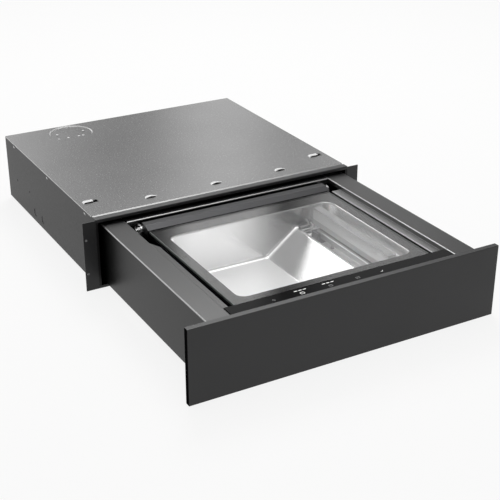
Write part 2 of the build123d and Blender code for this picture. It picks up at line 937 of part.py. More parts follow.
def make_ball_cages():
    """Ball cages between the three members, above and below."""
    inner_space = (runner_inner_half + runner_middle_half - runner_sheet) / 2
    outer_space = (runner_middle_half + runner_outer_half - runner_sheet) / 2
    inner_y0 = runner_middle_y + cage_margin
    inner_y1 = runner_inner_y + runner_length - cage_margin
    outer_y0 = runner_setback + cage_margin
    outer_y1 = runner_middle_y + runner_length - cage_margin
    inner_x0 = middle_tip_x + cage_web_gap / 2
    outer_x0 = outer_tip_x + cage_web_gap / 2
    rows = []
    for side in (-1, 1):
        rows.append(ball_row(inner_x0, cage_inner_width, runner_z + side * inner_space,
                             cage_inner_strip, cage_inner_ball, inner_y0, inner_y1))
        rows.append(ball_row(outer_x0, cage_outer_width, runner_z + side * outer_space,
                             cage_outer_strip, cage_outer_ball, outer_y0, outer_y1))
    return group(rows)


def make_runner_bracket():
    """Angle that stands on the housing base and carries the outer member."""
    web_x = bracket_x + bracket_sheet / 2
    foot_z = housing_sheet + bracket_sheet / 2
    points = [
        (web_x, bracket_top),
        (web_x, foot_z),
        (bracket_x + bracket_sheet + bracket_foot, foot_z),
    ]
    plane = cross_plane(runner_setback + runner_length)
    bracket = folded_sheet(points, bracket_sheet, bracket_sheet, plane, runner_length)
    for place, direction in bracket_screws():
        bracket -= screw_hole(place, direction, housing_sheet + bracket_sheet)
    return bracket


# Drawer body

def drawer_side_blank():
    """Right side of the drawer: outer wall, ledge, step, shelf, inner wall and floor flange."""
    mid = drawer_sheet / 2
    points = [
        (drawer_half - mid, drawer_bottom),
        (drawer_half - mid, drawer_top - mid),
        (ledge_x + mid, drawer_top - mid),
        (ledge_x + mid, shelf_top - mid),
        (shelf_x + mid, shelf_top - mid),
        (shelf_x + mid, drawer_bottom + mid),
        (shelf_x - floor_flange, drawer_bottom + mid),
    ]
    plane = cross_plane(drawer_rear_y)
    return folded_sheet(points, drawer_sheet, drawer_bend, plane, drawer_rear_y - panel_rear_y)


def hinge_pocket(front_y, slant):
    """Cut-out of shelf and inner wall beside the hinge, with a slanted front edge."""
    outline = Polyline(
        (shelf_x - 1, bay_front_y), (shelf_x - 1, front_y), (shelf_x + drawer_sheet, front_y),
        (ledge_x, front_y + slant), (ledge_x, bay_front_y), (shelf_x - 1, bay_front_y),
    )
    height = shelf_top + 1 - pocket_floor_z
    return extrude(Pos(0, 0, pocket_floor_z) * make_face(outline), height)


def make_drawer_side_right():
    """Right side of the drawer."""
    return drawer_side_blank() - hinge_pocket(pocket_front_right_y, 0)


def make_drawer_side_left():
    """Left side of the drawer, with the longer hinge pocket."""
    return mirrored(drawer_side_blank() - hinge_pocket(pocket_front_left_y, pocket_slant))


def make_drawer_floor():
    """Floor sheet, which lies on the flanges of the sides."""
    return block(-floor_half, floor_half, panel_rear_y, drawer_rear_y, floor_bottom, floor_top)


def step_wall(y0, y1, bottom, top, upper_half):
    """A wall across the drawer that is wider above the shelves."""
    lower = block(-floor_half, floor_half, y0, y1, bottom, shelf_top + bay_cover_lift)
    upper = block(-upper_half, upper_half, y0, y1, shelf_top + bay_cover_lift, top)
    return lower + upper


def fan_screws():
    """Head faces and directions of the fan screws through the drawer back."""
    reach = fan_size / 2 - fan_corner
    y = drawer_rear_y
    return [
        ((fan_x + a * reach, y, fan_z + b * reach), (0, -1, 0)) for a in (-1, 1) for b in (-1, 1)
    ]


def hinge_screws():
    """Head faces and directions of the hinge bracket screws."""
    x = rail_half + hinge_bracket_gap - hinge_flange_width / 2
    y = bay_front_y - hinge_flange
    places = []
    for inset in (hinge_screw_inset, hinge_flange_height - hinge_screw_inset):
        z = hinge_bracket_bottom + inset
        places.append(((x, y, z), (0, 1, 0)))
        places.append(((-x, y, z), (0, 1, 0)))
    return places


def make_drawer_rear():
    """Rear wall of the drawer with the fan opening and a field of vents."""
    half = ledge_x - bay_side_gap - bay_sheet - floor_side_gap
    top = drawer_top - bay_sheet - bay_cover_lift
    wall = step_wall(bay_rear_y, drawer_rear_y, floor_top, top, half)
    wall -= rod((fan_x, bay_rear_y - 1, fan_z), (0, 1, 0), fan_hole_radius, drawer_sheet + 2)
    for place, direction in fan_screws():
        wall -= screw_hole(place, direction, drawer_sheet + fan_corner)
    for count in range(vent_count):
        x = motor_left_x + saddle_inset + count * vent_pitch
        wall -= block(x - vent_width / 2, x + vent_width / 2, bay_rear_y - 1, drawer_rear_y + 1,
                      vent_z - vent_height / 2, vent_z + vent_height / 2)
    return wall


def make_bay_bulkhead():
    """Wall between the chamber and the machine bay, folded back at the top and the bottom."""
    half = ledge_x - bay_side_gap
    step_z = shelf_top + bay_cover_lift
    middle = bay_sheet / 2
    points = [
        (bay_front_y + middle, step_z),
        (bay_front_y + middle, drawer_top - middle),
        (bay_front_y + bulkhead_flange, drawer_top - middle),
    ]
    wall = folded_sheet(points, bay_sheet, drawer_bend, side_plane(-half), 2 * half)
    wall += block(-floor_half, floor_half, bay_front_y, bay_inner_y, floor_top, step_z)
    wall += block(-floor_half, floor_half, bay_inner_y, bay_front_y + bulkhead_flange,
                  floor_top, floor_top + bay_sheet)
    start_y = bay_front_y - 1
    length = bay_sheet + 2
    lift_passage = lift_hose_radius + hose_passage_gap
    wall -= rod((suction_x, start_y, suction_z), (0, 1, 0), hose_radius + hose_passage_gap, length)
    wall -= rod((seal_bar_x, start_y, lift_hose_top_z), (0, 1, 0), lift_passage, length)
    for place, direction in hinge_screws():
        wall -= screw_hole(place, direction, hinge_flange + bay_sheet)
    return wall


def make_bay_cover():
    """Cover of the machine bay, which stands on the shelves of the sides."""
    wall_x = ledge_x - bay_side_gap - bay_sheet / 2
    top_z = drawer_top - bay_sheet / 2
    foot_z = shelf_top
    points = [(-wall_x, foot_z), (-wall_x, top_z), (wall_x, top_z), (wall_x, foot_z)]
    plane = cross_plane(drawer_rear_y)
    return folded_sheet(points, bay_sheet, drawer_bend, plane, drawer_rear_y - bay_cover_front_y)


def make_front_carrier():
    """Plate that closes the panel at the back, with the tabs that hold the drawer sides."""
    reach = panel_width / 2 - panel_sheet - carrier_gap
    bottom = panel_bottom + panel_sheet + carrier_gap
    top = panel_top - panel_sheet - carrier_gap
    plate = block(-reach, reach, panel_rear_y - carrier_sheet, panel_rear_y, bottom, top)
    tab_x = drawer_half - drawer_sheet
    tab = block(tab_x - carrier_sheet, tab_x, panel_rear_y, panel_rear_y + carrier_tab_length,
                carrier_tab_bottom, carrier_tab_top)
    return plate + tab + mirrored(tab)


def make_front_panel():
    """Outer panel, a pan that is open at the back."""
    pan = block(-panel_width / 2, panel_width / 2, panel_front_y, panel_rear_y, panel_bottom, panel_top)
    front = pan.faces().sort_by(Axis.Y)[0]
    pan = fillet(front.edges(), panel_edge_radius)
    inside = block(
        panel_sheet - panel_width / 2, panel_width / 2 - panel_sheet,
        panel_front_y + panel_sheet, panel_rear_y + 1,
        panel_bottom + panel_sheet, panel_top - panel_sheet,
    )
    return pan - inside


def make_drawer_screws():
    """Screws of the hinge brackets and of the fan."""
    screws = [screw(place, direction, hinge_flange + bay_sheet) for place, direction in hinge_screws()]
    screws += [screw(place, direction, drawer_sheet + fan_corner) for place, direction in fan_screws()]
    return group(screws)


# Touch bar

def make_control_glass():
    """Glass of the touch bar, level with the ledges."""
    glass = block(-bar_half, bar_half, bar_front_y, bar_rear_y, bar_glass_bottom, drawer_top)
    return chamfer(glass.faces().sort_by(Axis.Z)[-1].edges(), bar_glass_edge)


def make_control_holder():
    """Tray under the touch glass, with the skirt that faces the lid."""
    tray = block(-bar_half, bar_half, bar_front_y, bar_rear_y, shelf_top, bar_glass_bottom)
    tray -= block(
        bar_holder_wall - bar_half, bar_half - bar_holder_wall,
        bar_front_y + bar_holder_wall, bar_rear_y - bar_holder_wall,
        shelf_top + bar_holder_floor, bar_glass_bottom + 1,
    )
    for x in bar_rib_places:
        tray += block(x - bar_rib_width / 2, x + bar_rib_width / 2,
                      bar_front_y + bar_holder_wall, bar_rear_y - bar_holder_wall,
                      shelf_top + bar_holder_floor, shelf_top + bar_holder_floor + bar_rib_height)
    skirt = block(-floor_half, floor_half, bar_rear_y - bar_holder_wall, bar_rear_y,
                  bar_skirt_bottom, shelf_top)
    return tray + skirt


def make_control_board():
    """Circuit board with its touch pads, on the ribs of the tray."""
    bottom = shelf_top + bar_holder_floor + bar_rib_height
    top = bottom + bar_board_thickness
    y0 = bar_front_y + bar_holder_wall + bar_board_gap
    y1 = bar_rear_y - bar_holder_wall - bar_board_gap
    board = block(-bar_board_half, bar_board_half, y0, y1, bottom, top)
    middle_y = (y0 + y1) / 2
    half = touch_pad / 2
    for x in touch_pad_places:
        board += block(x - half, x + half, middle_y - half, middle_y + half, top, top + touch_pad_height)
    return board


# Vacuum chamber

def tub_depth():
    """Depth of the chamber from its rim to its floor."""
    return tub_flange_top - tub_floor_z


def tub_steps():
    """Outline of the floor, the ramp, the ridge and the trough, seen from the front, closed above."""
    side = 2 * tub_half
    floor_line = FilletPolyline(
        (-side, tub_floor_z), (tub_ramp_foot_x, tub_floor_z), (tub_ridge_x, tub_ridge_z),
        (tub_ridge_end_x, tub_ridge_z), (tub_trough_x, tub_trough_z), (side, tub_trough_z),
        radius=(tub_foot_radius, tub_ridge_radius, tub_ridge_end_radius, tub_ridge_end_radius),
    )
    high = 2 * tub_flange_top
    closing = Polyline((side, tub_trough_z), (side, high), (-side, high), (-side, tub_floor_z))
    return make_face(Curve() + floor_line + closing)


def tub_space(grow):
    """The hollow of the chamber, or with grow the outside of its sheet."""
    width = 2 * (tub_half + grow)
    length = tub_rear_y - tub_front_y + 2 * grow
    middle_y = (tub_front_y + tub_rear_y) / 2
    rim = Pos(0, middle_y, tub_flange_top) * RectangleRounded(width, length, tub_corner + grow)
    drawn = extrude(rim, -(tub_depth() + 2 * grow), taper=tub_draft)
    above = tub_steps()
    if grow > 0:
        above = offset(above, grow)
    far = 2 * tub_flange_top
    space = drawn & extrude(cross_plane(far) * above, 3 * far)
    foot_edges = []
    for edge in space.edges():
        box = edge.bounding_box()
        is_low = box.max.Z < tub_flange_top - 1
        is_step_line = box.size.Y > length / 2 and abs(box.center().X) < tub_half - tub_corner
        if is_low and not is_step_line:
            foot_edges.append(edge)
    return fillet(foot_edges, tub_floor_radius + grow)


def make_chamber_tub():
    """Chamber with its rim, its ramp and the trough of the sealing bar."""
    flange = rounded_plate(
        -tub_flange_half, tub_flange_half, tub_flange_front_y, tub_flange_rear_y,
        tub_flange_bottom, tub_flange_top, tub_flange_corner,
    )
    tub = flange + tub_space(tub_sheet)
    nipple_start = tub_rear_y - tub_corner
    tub += rod((suction_x, nipple_start, suction_z), (0, 1, 0), nipple_radius, nipple_end_y - nipple_start)
    tub -= tub_space(0)
    tub -= rod((suction_x, nipple_start, suction_z), (0, 1, 0), nipple_bore, nipple_end_y - nipple_start)
    for y in (lift_front_y, lift_rear_y):
        tub -= rod((seal_bar_x, y, tub_trough_z - 2 * tub_sheet), (0, 0, 1),
                   lift_pin_radius + lift_pin_hole_gap, 3 * tub_sheet)
    return tub


def make_tub_supports():
    """Two folded walls that carry the rim of the chamber."""
    top_z = tub_flange_bottom - support_sheet / 2
    foot_z = floor_top + support_sheet / 2
    points = [
        (support_x - support_flange, top_z),
        (support_x, top_z),
        (support_x, foot_z),
        (support_x - support_flange, foot_z),
    ]
    plane = cross_plane(support_rear_y)
    wall = folded_sheet(points, support_sheet, support_sheet, plane, support_rear_y - support_front_y)
    return group([wall, mirrored(wall)])


def make_lid_seal():
    """Ring gasket on the rim of the chamber."""
    outer = seal_overhang + seal_width / 2
    inner = seal_overhang - seal_width / 2
    top = tub_flange_top + seal_height
    ring = rounded_plate(-tub_half - outer, tub_half + outer, tub_front_y - outer, tub_rear_y + outer,
                         tub_flange_top, top, seal_corner + seal_width / 2)
    ring -= rounded_plate(-tub_half - inner, tub_half + inner, tub_front_y - inner, tub_rear_y + inner,
                          tub_flange_top - 1, top + 1, seal_corner - seal_width / 2)
    return fillet(ring.faces().sort_by(Axis.Z)[-1].edges(), seal_height / 3)


# Lid

def make_lid_glass():
    """Glass of the lid."""
    glass = rounded_plate(-glass_half, glass_half, glass_front_y, glass_rear_y,
                          glass_bottom, glass_top, glass_corner)
    rims = glass.faces().sort_by(Axis.Z)
    return chamfer(rims[0].edges() + rims[-1].edges(), glass_edge)


def make_hinge_rail():
    """Rail that grips the rear edge of the glass and turns on the shaft."""
    outline = Polyline(
        (rail_rear_y, glass_bottom - rail_lip), (rail_rear_y, rail_top), (rail_fold_y, rail_top),
        (rail_nose_y, glass_top + rail_nose_height), (rail_nose_y, glass_bottom - rail_lip),
        (rail_rear_y, glass_bottom - rail_lip),
    )
    rail = extrude(side_plane(-rail_half) * make_face(outline), 2 * rail_half)
    rail = chamfer(rail.edges().filter_by(Axis.X), rail_edge / 2)
    rail -= block(-glass_half - rail_slot_gap, glass_half + rail_slot_gap, rail_nose_y - 1,
                  glass_rear_y + rail_slot_gap, glass_bottom - rail_slot_gap, glass_top + rail_slot_gap)
    start = (-rail_half - 1, hinge_y, hinge_z)
    return rail - rod(start, (1, 0, 0), hinge_radius + running_gap, 2 * rail_half + 2)


def make_hinge_shaft():
    """Shaft of the lid, fixed in the rail and turning in the brackets."""
    reach = rail_half + hinge_bracket_gap + hinge_bracket + hinge_shaft_overhang
    shaft = rod((-reach, hinge_y, hinge_z), (1, 0, 0), hinge_radius, 2 * reach)
    return chamfer(shaft.edges(), hinge_radius / 6)


def make_hinge_brackets():
    """Two steel angles on the bulkhead that hold the shaft."""
    x0 = rail_half + hinge_bracket_gap
    x1 = x0 + hinge_bracket
    plate = block(x0, x1, hinge_bracket_front_y, bay_front_y, hinge_bracket_bottom, hinge_z)
    plate += block(x0, x1, hinge_y, bay_front_y, hinge_z, hinge_z + hinge_bracket_head)
    plate += rod((x0, hinge_y, hinge_z), (1, 0, 0), hinge_bracket_head, hinge_bracket)
    plate += block(x0 - hinge_flange_width, x0, bay_front_y - hinge_flange, bay_front_y,
                   hinge_bracket_bottom, hinge_bracket_bottom + hinge_flange_height)
    plate -= rod((x0 - 1, hinge_y, hinge_z), (1, 0, 0), hinge_radius + running_gap, hinge_bracket + 2)
    for place, direction in hinge_screws():
        plate -= screw_hole(place, direction, hinge_flange + bay_sheet)
    return group([plate, mirrored(plate)])


def biarc(start, start_way, end, end_way):
    """Two arcs that join two points along two directions."""
    across = end - start
    ways = start_way + end_way
    spread = 2 * (1 - start_way.dot(end_way))
    along = across.dot(ways)
    reach = (math.sqrt(along * along + spread * across.dot(across)) - along) / spread
    middle = (start + end + (start_way - end_way) * reach) / 2
    middle_way = (middle - start - start_way * (reach / 2)) + (end - end_way * (reach / 2) - middle)
    first = Edge.make_tangent_arc(start, start_way, middle)
    second = Edge.make_tangent_arc(middle, middle_way.normalized(), end)
    return [first, second]


def spring_place(turn):
    """A point of the right hinge spring and its direction after a number of turns."""
    x0 = rail_half + hinge_bracket_gap + hinge_bracket + spring_bracket_gap + spring_wire_radius
    angle = 2 * math.pi * turn
    place = Vector(x0 + spring_pitch * turn,
                   hinge_y + spring_radius * math.cos(angle),
                   hinge_z + spring_radius * math.sin(angle))
    way = Vector(spring_pitch / (2 * math.pi), -spring_radius * math.sin(angle),
                 spring_radius * math.cos(angle))
    return place, way.normalized()


def make_hinge_springs():
    """Torsion springs round the ends of the shaft, wound from quarter turns."""
    edges = []
    quarters = 4 * spring_turns
    for quarter in range(quarters):
        start, start_way = spring_place(quarter / 4)
        end, end_way = spring_place((quarter + 1) / 4)
        edges += biarc(start, start_way, end, end_way)
    first, first_way = spring_place(0)
    last, last_way = spring_place(spring_turns)
    edges.insert(0, Edge.make_line(first - first_way * spring_leg, first))
    edges.append(Edge.make_line(last, last + last_way * (spring_leg / 2)))
    path = Wire(edges)
    section = Plane(origin=path @ 0, z_dir=path % 0) * Circle(spring_wire_radius)
    spring = sweep(section, path)
    print("hinge spring least gap to itself", round(spring_pitch - 2 * spring_wire_radius, 2))
    return group([spring, mirrored(spring)])


def make_counter_holder():
    """Holder under the glass for the counter bar."""
    x0 = seal_bar_x - counter_width / 2
    return block(x0, x0 + counter_width, counter_front_y, counter_rear_y, counter_seam_z, glass_bottom)


def make_counter_bar():
    """Silicone bar that the sealing bar presses against."""
    x0 = seal_bar_x - counter_width / 2
    bar = block(x0, x0 + counter_width, counter_front_y, counter_rear_y, counter_bar_bottom, counter_seam_z)
    low = bar.faces().sort_by(Axis.Z)[0].edges().filter_by(Axis.Y)
    return fillet(low, counter_edge)


# Sealing bar

def make_sealing_bar():
    """Bar that presses and heats the mouth of the bag."""
    x0 = seal_bar_x - seal_bar_width / 2
    bar = block(x0, x0 + seal_bar_width, seal_bar_front_y, seal_bar_rear_y, seal_bar_bottom, seal_bar_top)
    return chamfer(bar.edges().filter_by(Axis.Y), seal_bar_edge)


def make_heating_strip():
    """Flat heating strip along the top of the bar."""
    x0 = seal_bar_x - heater_width / 2
    return block(x0, x0 + heater_width, seal_bar_front_y, seal_bar_rear_y,
                 seal_bar_top, seal_bar_top + heater_height)


def make_lift_pins():
    """Pins that carry the bar from the lift cylinders."""
    bottom = tub_trough_z - lift_pin_depth
    return group(
        rod((seal_bar_x, y, bottom), (0, 0, 1), lift_pin_radius, seal_bar_bottom - bottom)
        for y in (lift_front_y, lift_rear_y)
    )


def make_bar_end_blocks():
    """Blocks in the trough that guide the two ends of the bar."""
    x0 = seal_bar_x - end_block_width / 2
    top = tub_trough_z + end_block_height
    slot_half = seal_bar_width / 2 + end_block_gap
    blocks = []
    for y0 in (end_block_front_y, end_block_rear_y - end_block_length):
        guide = block(x0, x0 + end_block_width, y0, y0 + end_block_length, tub_trough_z, top)
        guide -= block(seal_bar_x - slot_half, seal_bar_x + slot_half,
                       seal_bar_front_y - end_block_gap, seal_bar_rear_y + end_block_gap,
                       seal_bar_bottom - end_block_gap, top + 1)
        blocks.append(guide)
    return group(blocks)


def make_lift_cylinders():
    """Cylinders under the trough that lift the bar."""
    top = tub_trough_z - tub_sheet - lift_cylinder_gap
    pin_bottom = tub_trough_z - lift_pin_depth
    cylinders = []
    for y in (lift_front_y, lift_rear_y):
        body = rod((seal_bar_x, y, floor_top), (0, 0, 1), lift_cylinder_radius, top - floor_top)
        bore = rod((seal_bar_x, y, pin_bottom - lift_bore_spare), (0, 0, 1),
                   lift_pin_radius + running_gap, top)
        cylinders.append(body - bore)
    return group(cylinders)


def make_bag_clip():
    """Bent wire that stands out of the slope behind the ridge."""
    slope = (tub_trough_x - tub_ridge_end_x) / (tub_ridge_z - tub_trough_z)
    foot_x = tub_ridge_end_x + (tub_ridge_z - clip_z + clip_radius) * slope + clip_gap
    path = FilletPolyline(
        (foot_x, clip_y, clip_z), (clip_right_x, clip_y, clip_z), (clip_hook_x, clip_y, clip_hook_z),
        radius=clip_bend,
    )
    section = Plane(origin=path @ 0, z_dir=path % 0) * Circle(clip_radius)
    return sweep(section, path)


# Vacuum pump

def make_pump_motor():
    """Motor shell on its plate, hollow for the armature."""
    axis_start = (motor_left_x, pump_axis_y, pump_axis_z)
    length = motor_right_x - motor_left_x
    motor = rod(axis_start, (1, 0, 0), motor_radius, length)
    motor = fillet(motor.edges(), 3)
    plate_top = pump_plate_bottom + pump_plate
    motor += block(pump_plate_left_x, head_right_x, pump_axis_y - pump_plate_half_depth,
                   pump_axis_y + pump_plate_half_depth, pump_plate_bottom, plate_top)
    motor += block(motor_left_x + saddle_inset, motor_right_x - saddle_inset,
                   pump_axis_y - saddle_half_width, pump_axis_y + saddle_half_width,
                   plate_top, pump_axis_z - motor_radius + saddle_half_width / 3)
    motor -= rod((motor_left_x + motor_wall, pump_axis_y, pump_axis_z), (1, 0, 0),
                 motor_radius - motor_wall, length - 2 * motor_wall)
    return motor - rod((motor_left_x - 1, pump_axis_y, pump_axis_z), (1, 0, 0),
                       rotor_shaft_radius + running_gap, length + 2)


def make_pump_head():
    """Pump head with cooling fins and two ports."""
    x0 = motor_right_x + head_gap
    bottom = pump_plate_bottom + pump_plate
    y0 = pump_axis_y - head_half_depth
    y1 = pump_axis_y + head_half_depth
    head = block(x0, head_right_x, y0, y1, bottom, head_top)
    head = fillet(head.edges().filter_by(Axis.X), head_corner)
    count = int((head_right_x - x0) // head_fin_pitch)
    for index in range(1, count):
        x = x0 + index * head_fin_pitch
        head -= block(x, x + head_fin_width, y0 - 1, y1 + 1, head_top - head_fin_depth, head_top + 1)
    for y in (pump_hose_y, 2 * pump_axis_y - pump_hose_y):
        head += rod((head_right_x, y, pump_hose_z), (1, 0, 0), port_radius, port_length)
    return head - rod((x0 - 1, pump_axis_y, pump_axis_z), (1, 0, 0), rotor_shaft_radius + running_gap,
                      rotor_right_x - x0 + 2)


def make_pump_mounts():
    """Four rubber mounts between the floor and the pump plate."""
    mounts = []
    for x in (pump_plate_left_x + mount_inset, head_right_x - mount_inset):
        for side in (-1, 1):
            y = pump_axis_y + side * (pump_plate_half_depth - mount_inset)
            mounts.append(rod((x, y, floor_top), (0, 0, 1), mount_radius, pump_plate_bottom - floor_top))
    return group(mounts)


def make_pump_rotor():
    """Shaft, armature and cooling fan of the pump."""
    rotor = rod((rotor_left_x, pump_axis_y, pump_axis_z), (1, 0, 0), rotor_shaft_radius,
                rotor_right_x - rotor_left_x)
    armature_x = motor_left_x + motor_wall + armature_gap
    rotor += rod((armature_x, pump_axis_y, pump_axis_z), (1, 0, 0), armature_radius,
                 motor_right_x - motor_left_x - 2 * motor_wall - 2 * armature_gap)
    disc_x = rotor_left_x + pump_fan_depth
    rotor += rod((disc_x, pump_axis_y, pump_axis_z), (1, 0, 0), pump_fan_radius, pump_fan_disc)
    rotor += rod((rotor_left_x, pump_axis_y, pump_axis_z), (1, 0, 0), pump_fan_hub, pump_fan_depth)
    for index in range(pump_fan_blades):
        blade = block(rotor_left_x, disc_x, pump_fan_hub / 2, pump_fan_radius, -pump_fan_disc / 2,
                      pump_fan_disc / 2)
        turned = Rot(360 * index / pump_fan_blades, 0, 0) * blade
        rotor += Pos(0, pump_axis_y, pump_axis_z) * turned
    return rotor


# Valves, hoses and electrics

def make_valve_block():
    """Valve block on the bulkhead with three coils."""
    rear_y = bay_inner_y + valve_depth
    body = block(valve_left_x, valve_right_x, bay_inner_y, rear_y, valve_bottom, valve_top)
    middle_y = bay_inner_y + valve_depth / 2
    for index in (-1, 0, 1):
        x = (valve_left_x + valve_right_x) / 2 + index * coil_pitch
        body += rod((x, middle_y, valve_top), (0, 0, 1), coil_radius, coil_height)
        body += rod((x, middle_y, valve_top + coil_height), (0, 0, 1), coil_cap_radius, coil_cap_height)
    return body


def hose(points, radius):
    """A hose along straight runs joined by arcs as large as the runs allow."""
    corners = [Vector(*point) for point in points]
    bends = []
    for before, corner, after in zip(corners, corners[1:], corners[2:]):
        turn = (corner - before).get_angle(after - corner)
        run = min((corner - before).length, (after - corner).length)
        bends.append(0.45 * run / math.tan(math.radians(turn) / 2))
    print("hose bend radii", [round(bend, 1) for bend in bends])
    path = FilletPolyline(*points, radius=tuple(bends))
    section = Plane(origin=path @ 0, z_dir=path % 0) * Circle(radius)
    return sweep(section, path)


def make_vacuum_hoses():
    """Hoses from the pump to the valves, from there to the chamber, and to the lifts."""
    pump_hose = hose([
        (head_right_x + port_length, pump_hose_y, pump_hose_z),
        (head_right_x + port_length + hose_lead, pump_hose_y, pump_hose_z),
        (valve_left_x - hose_lead, valve_hose_y, valve_hose_z),
        (valve_left_x, valve_hose_y, valve_hose_z),
    ], hose_radius)
    suction = rod((suction_x, nipple_end_y, suction_z), (0, 1, 0), hose_radius, bay_inner_y - nipple_end_y)
    lift_end_y = lift_rear_y + lift_cylinder_radius
    lead_y = bay_inner_y - lift_hose_lead
    feed = hose([
        (seal_bar_x, bay_inner_y, lift_hose_top_z),
        (seal_bar_x, lead_y, lift_hose_top_z),
        (seal_bar_x, lead_y - lift_hose_drop, lift_hose_z),
        (seal_bar_x, lift_end_y, lift_hose_z),
    ], lift_hose_radius)
    link_start_y = lift_front_y + lift_cylinder_radius
    link_length = lift_rear_y - lift_cylinder_radius - link_start_y
    link = rod((seal_bar_x, link_start_y, lift_hose_z), (0, 1, 0), lift_hose_radius, link_length)
    return group([pump_hose, suction, feed, link])


def make_transformer():
    """Transformer of the heating strip: a core with its winding."""
    core = block(transformer_left_x, transformer_right_x, transformer_front_y + transformer_coil_bulge,
                 transformer_rear_y - transformer_coil_bulge, floor_top, transformer_top)
    x0 = transformer_left_x + transformer_coil_inset
    x1 = transformer_right_x - transformer_coil_inset
    winding = block(x0, x1, transformer_front_y, transformer_rear_y,
                    floor_top + transformer_coil_inset, transformer_top - transformer_coil_inset)
    winding = fillet(winding.edges().filter_by(Axis.Z), transformer_coil_bulge / 2)
    return core + winding


def make_power_board():
    """Power board on four standoffs at the back of the bay."""
    rear_y = bay_rear_y - board_standoff
    front_y = rear_y - board_thickness
    board = block(board_left_x, board_right_x, front_y, rear_y, board_bottom, board_top)
    for x in (board_left_x + board_inset, board_right_x - board_inset):
        for z in (board_bottom + board_inset, board_top - board_inset):
            board += rod((x, rear_y, z), (0, 1, 0), board_standoff_radius, board_standoff)
    fin_z = board_top - 2 * board_inset
    sink_x = board_left_x + 2 * board_inset
    depth = heatsink_fins * heatsink_pitch
    base_y = front_y - heatsink_base
    board += block(sink_x, sink_x + depth, base_y, front_y, fin_z - depth, fin_z)
    for index in range(heatsink_fins):
        x = sink_x + index * heatsink_pitch
        board += block(x, x + heatsink_fin, front_y - heatsink_height, base_y, fin_z - depth, fin_z)
    for index in range(capacitor_count):
        x = board_left_x + 3 * board_inset + index * (2 * capacitor_radius + capacitor_gap)
        start = (x, front_y - capacitor_height, board_bottom + 3 * board_inset)
        board += rod(start, (0, 1, 0), capacitor_radius, capacitor_height)
    for index in range(relay_count):
        x = board_right_x - 2 * board_inset - relay_size
        z = board_bottom + 2 * board_inset + index * (relay_size + relay_gap)
        board += block(x, x + relay_size, front_y - relay_height, front_y, z, z + relay_size)
    return board


def make_fan_frame():
    """Frame of the cooling fan with its hub plate and pin."""
    y0 = bay_rear_y - fan_depth
    half = fan_size / 2
    frame = block(fan_x - half, fan_x + half, y0, bay_rear_y, fan_z - half, fan_z + half)
    frame = fillet(frame.edges().filter_by(Axis.Y), fan_corner)
    frame -= rod((fan_x, y0 - 1, fan_z), (0, 1, 0), fan_hole_radius, fan_depth + 2)
    spider_y = bay_rear_y - fan_spider_depth
    frame += rod((fan_x, spider_y, fan_z), (0, 1, 0), fan_hub_radius, fan_spider_depth)
    for angle in (30, 150, 270):
        arm = block(fan_hub_radius / 2, fan_hole_radius + 1, spider_y, bay_rear_y,
                    -fan_spider_width / 2, fan_spider_width / 2)
        frame += Pos(fan_x, 0, fan_z) * (Rot(0, angle, 0) * arm)
    pin_length = fan_depth - 2 * fan_spider_depth
    frame += rod((fan_x, spider_y - pin_length, fan_z), (0, 1, 0), fan_pin_radius, pin_length)
    for place, direction in fan_screws():
        frame -= screw_hole(place, direction, drawer_sheet + fan_corner)
    return frame


def make_fan_rotor():
    """Hub and blades of the cooling fan."""
    y0 = bay_rear_y - fan_depth + fan_spider_depth
    y1 = bay_rear_y - fan_spider_depth - fan_blade_gap
    depth = y1 - y0
    rotor = rod((fan_x, y0, fan_z), (0, 1, 0), fan_hub_radius, depth)
    for index in range(fan_blades):
        blade = Box(fan_hole_radius - fan_blade_gap - fan_hub_radius / 2, depth * 1.05, fan_blade_thickness)
        tilted = Rot(fan_blade_angle, 0, 0) * blade
        reach = (fan_hole_radius - fan_blade_gap + fan_hub_radius / 2) / 2
        placed = Rot(0, 360 * index / fan_blades, 0) * (Pos(reach, 0, 0) * tilted)
        rotor += Pos(fan_x, (y0 + y1) / 2, fan_z) * placed
    rotor &= rod((fan_x, y0, fan_z), (0, 1, 0), fan_hole_radius - fan_blade_gap, depth)
    return rotor - rod((fan_x, y0 - 1, fan_z), (0, 1, 0), fan_pin_radius + running_gap, depth + 2)


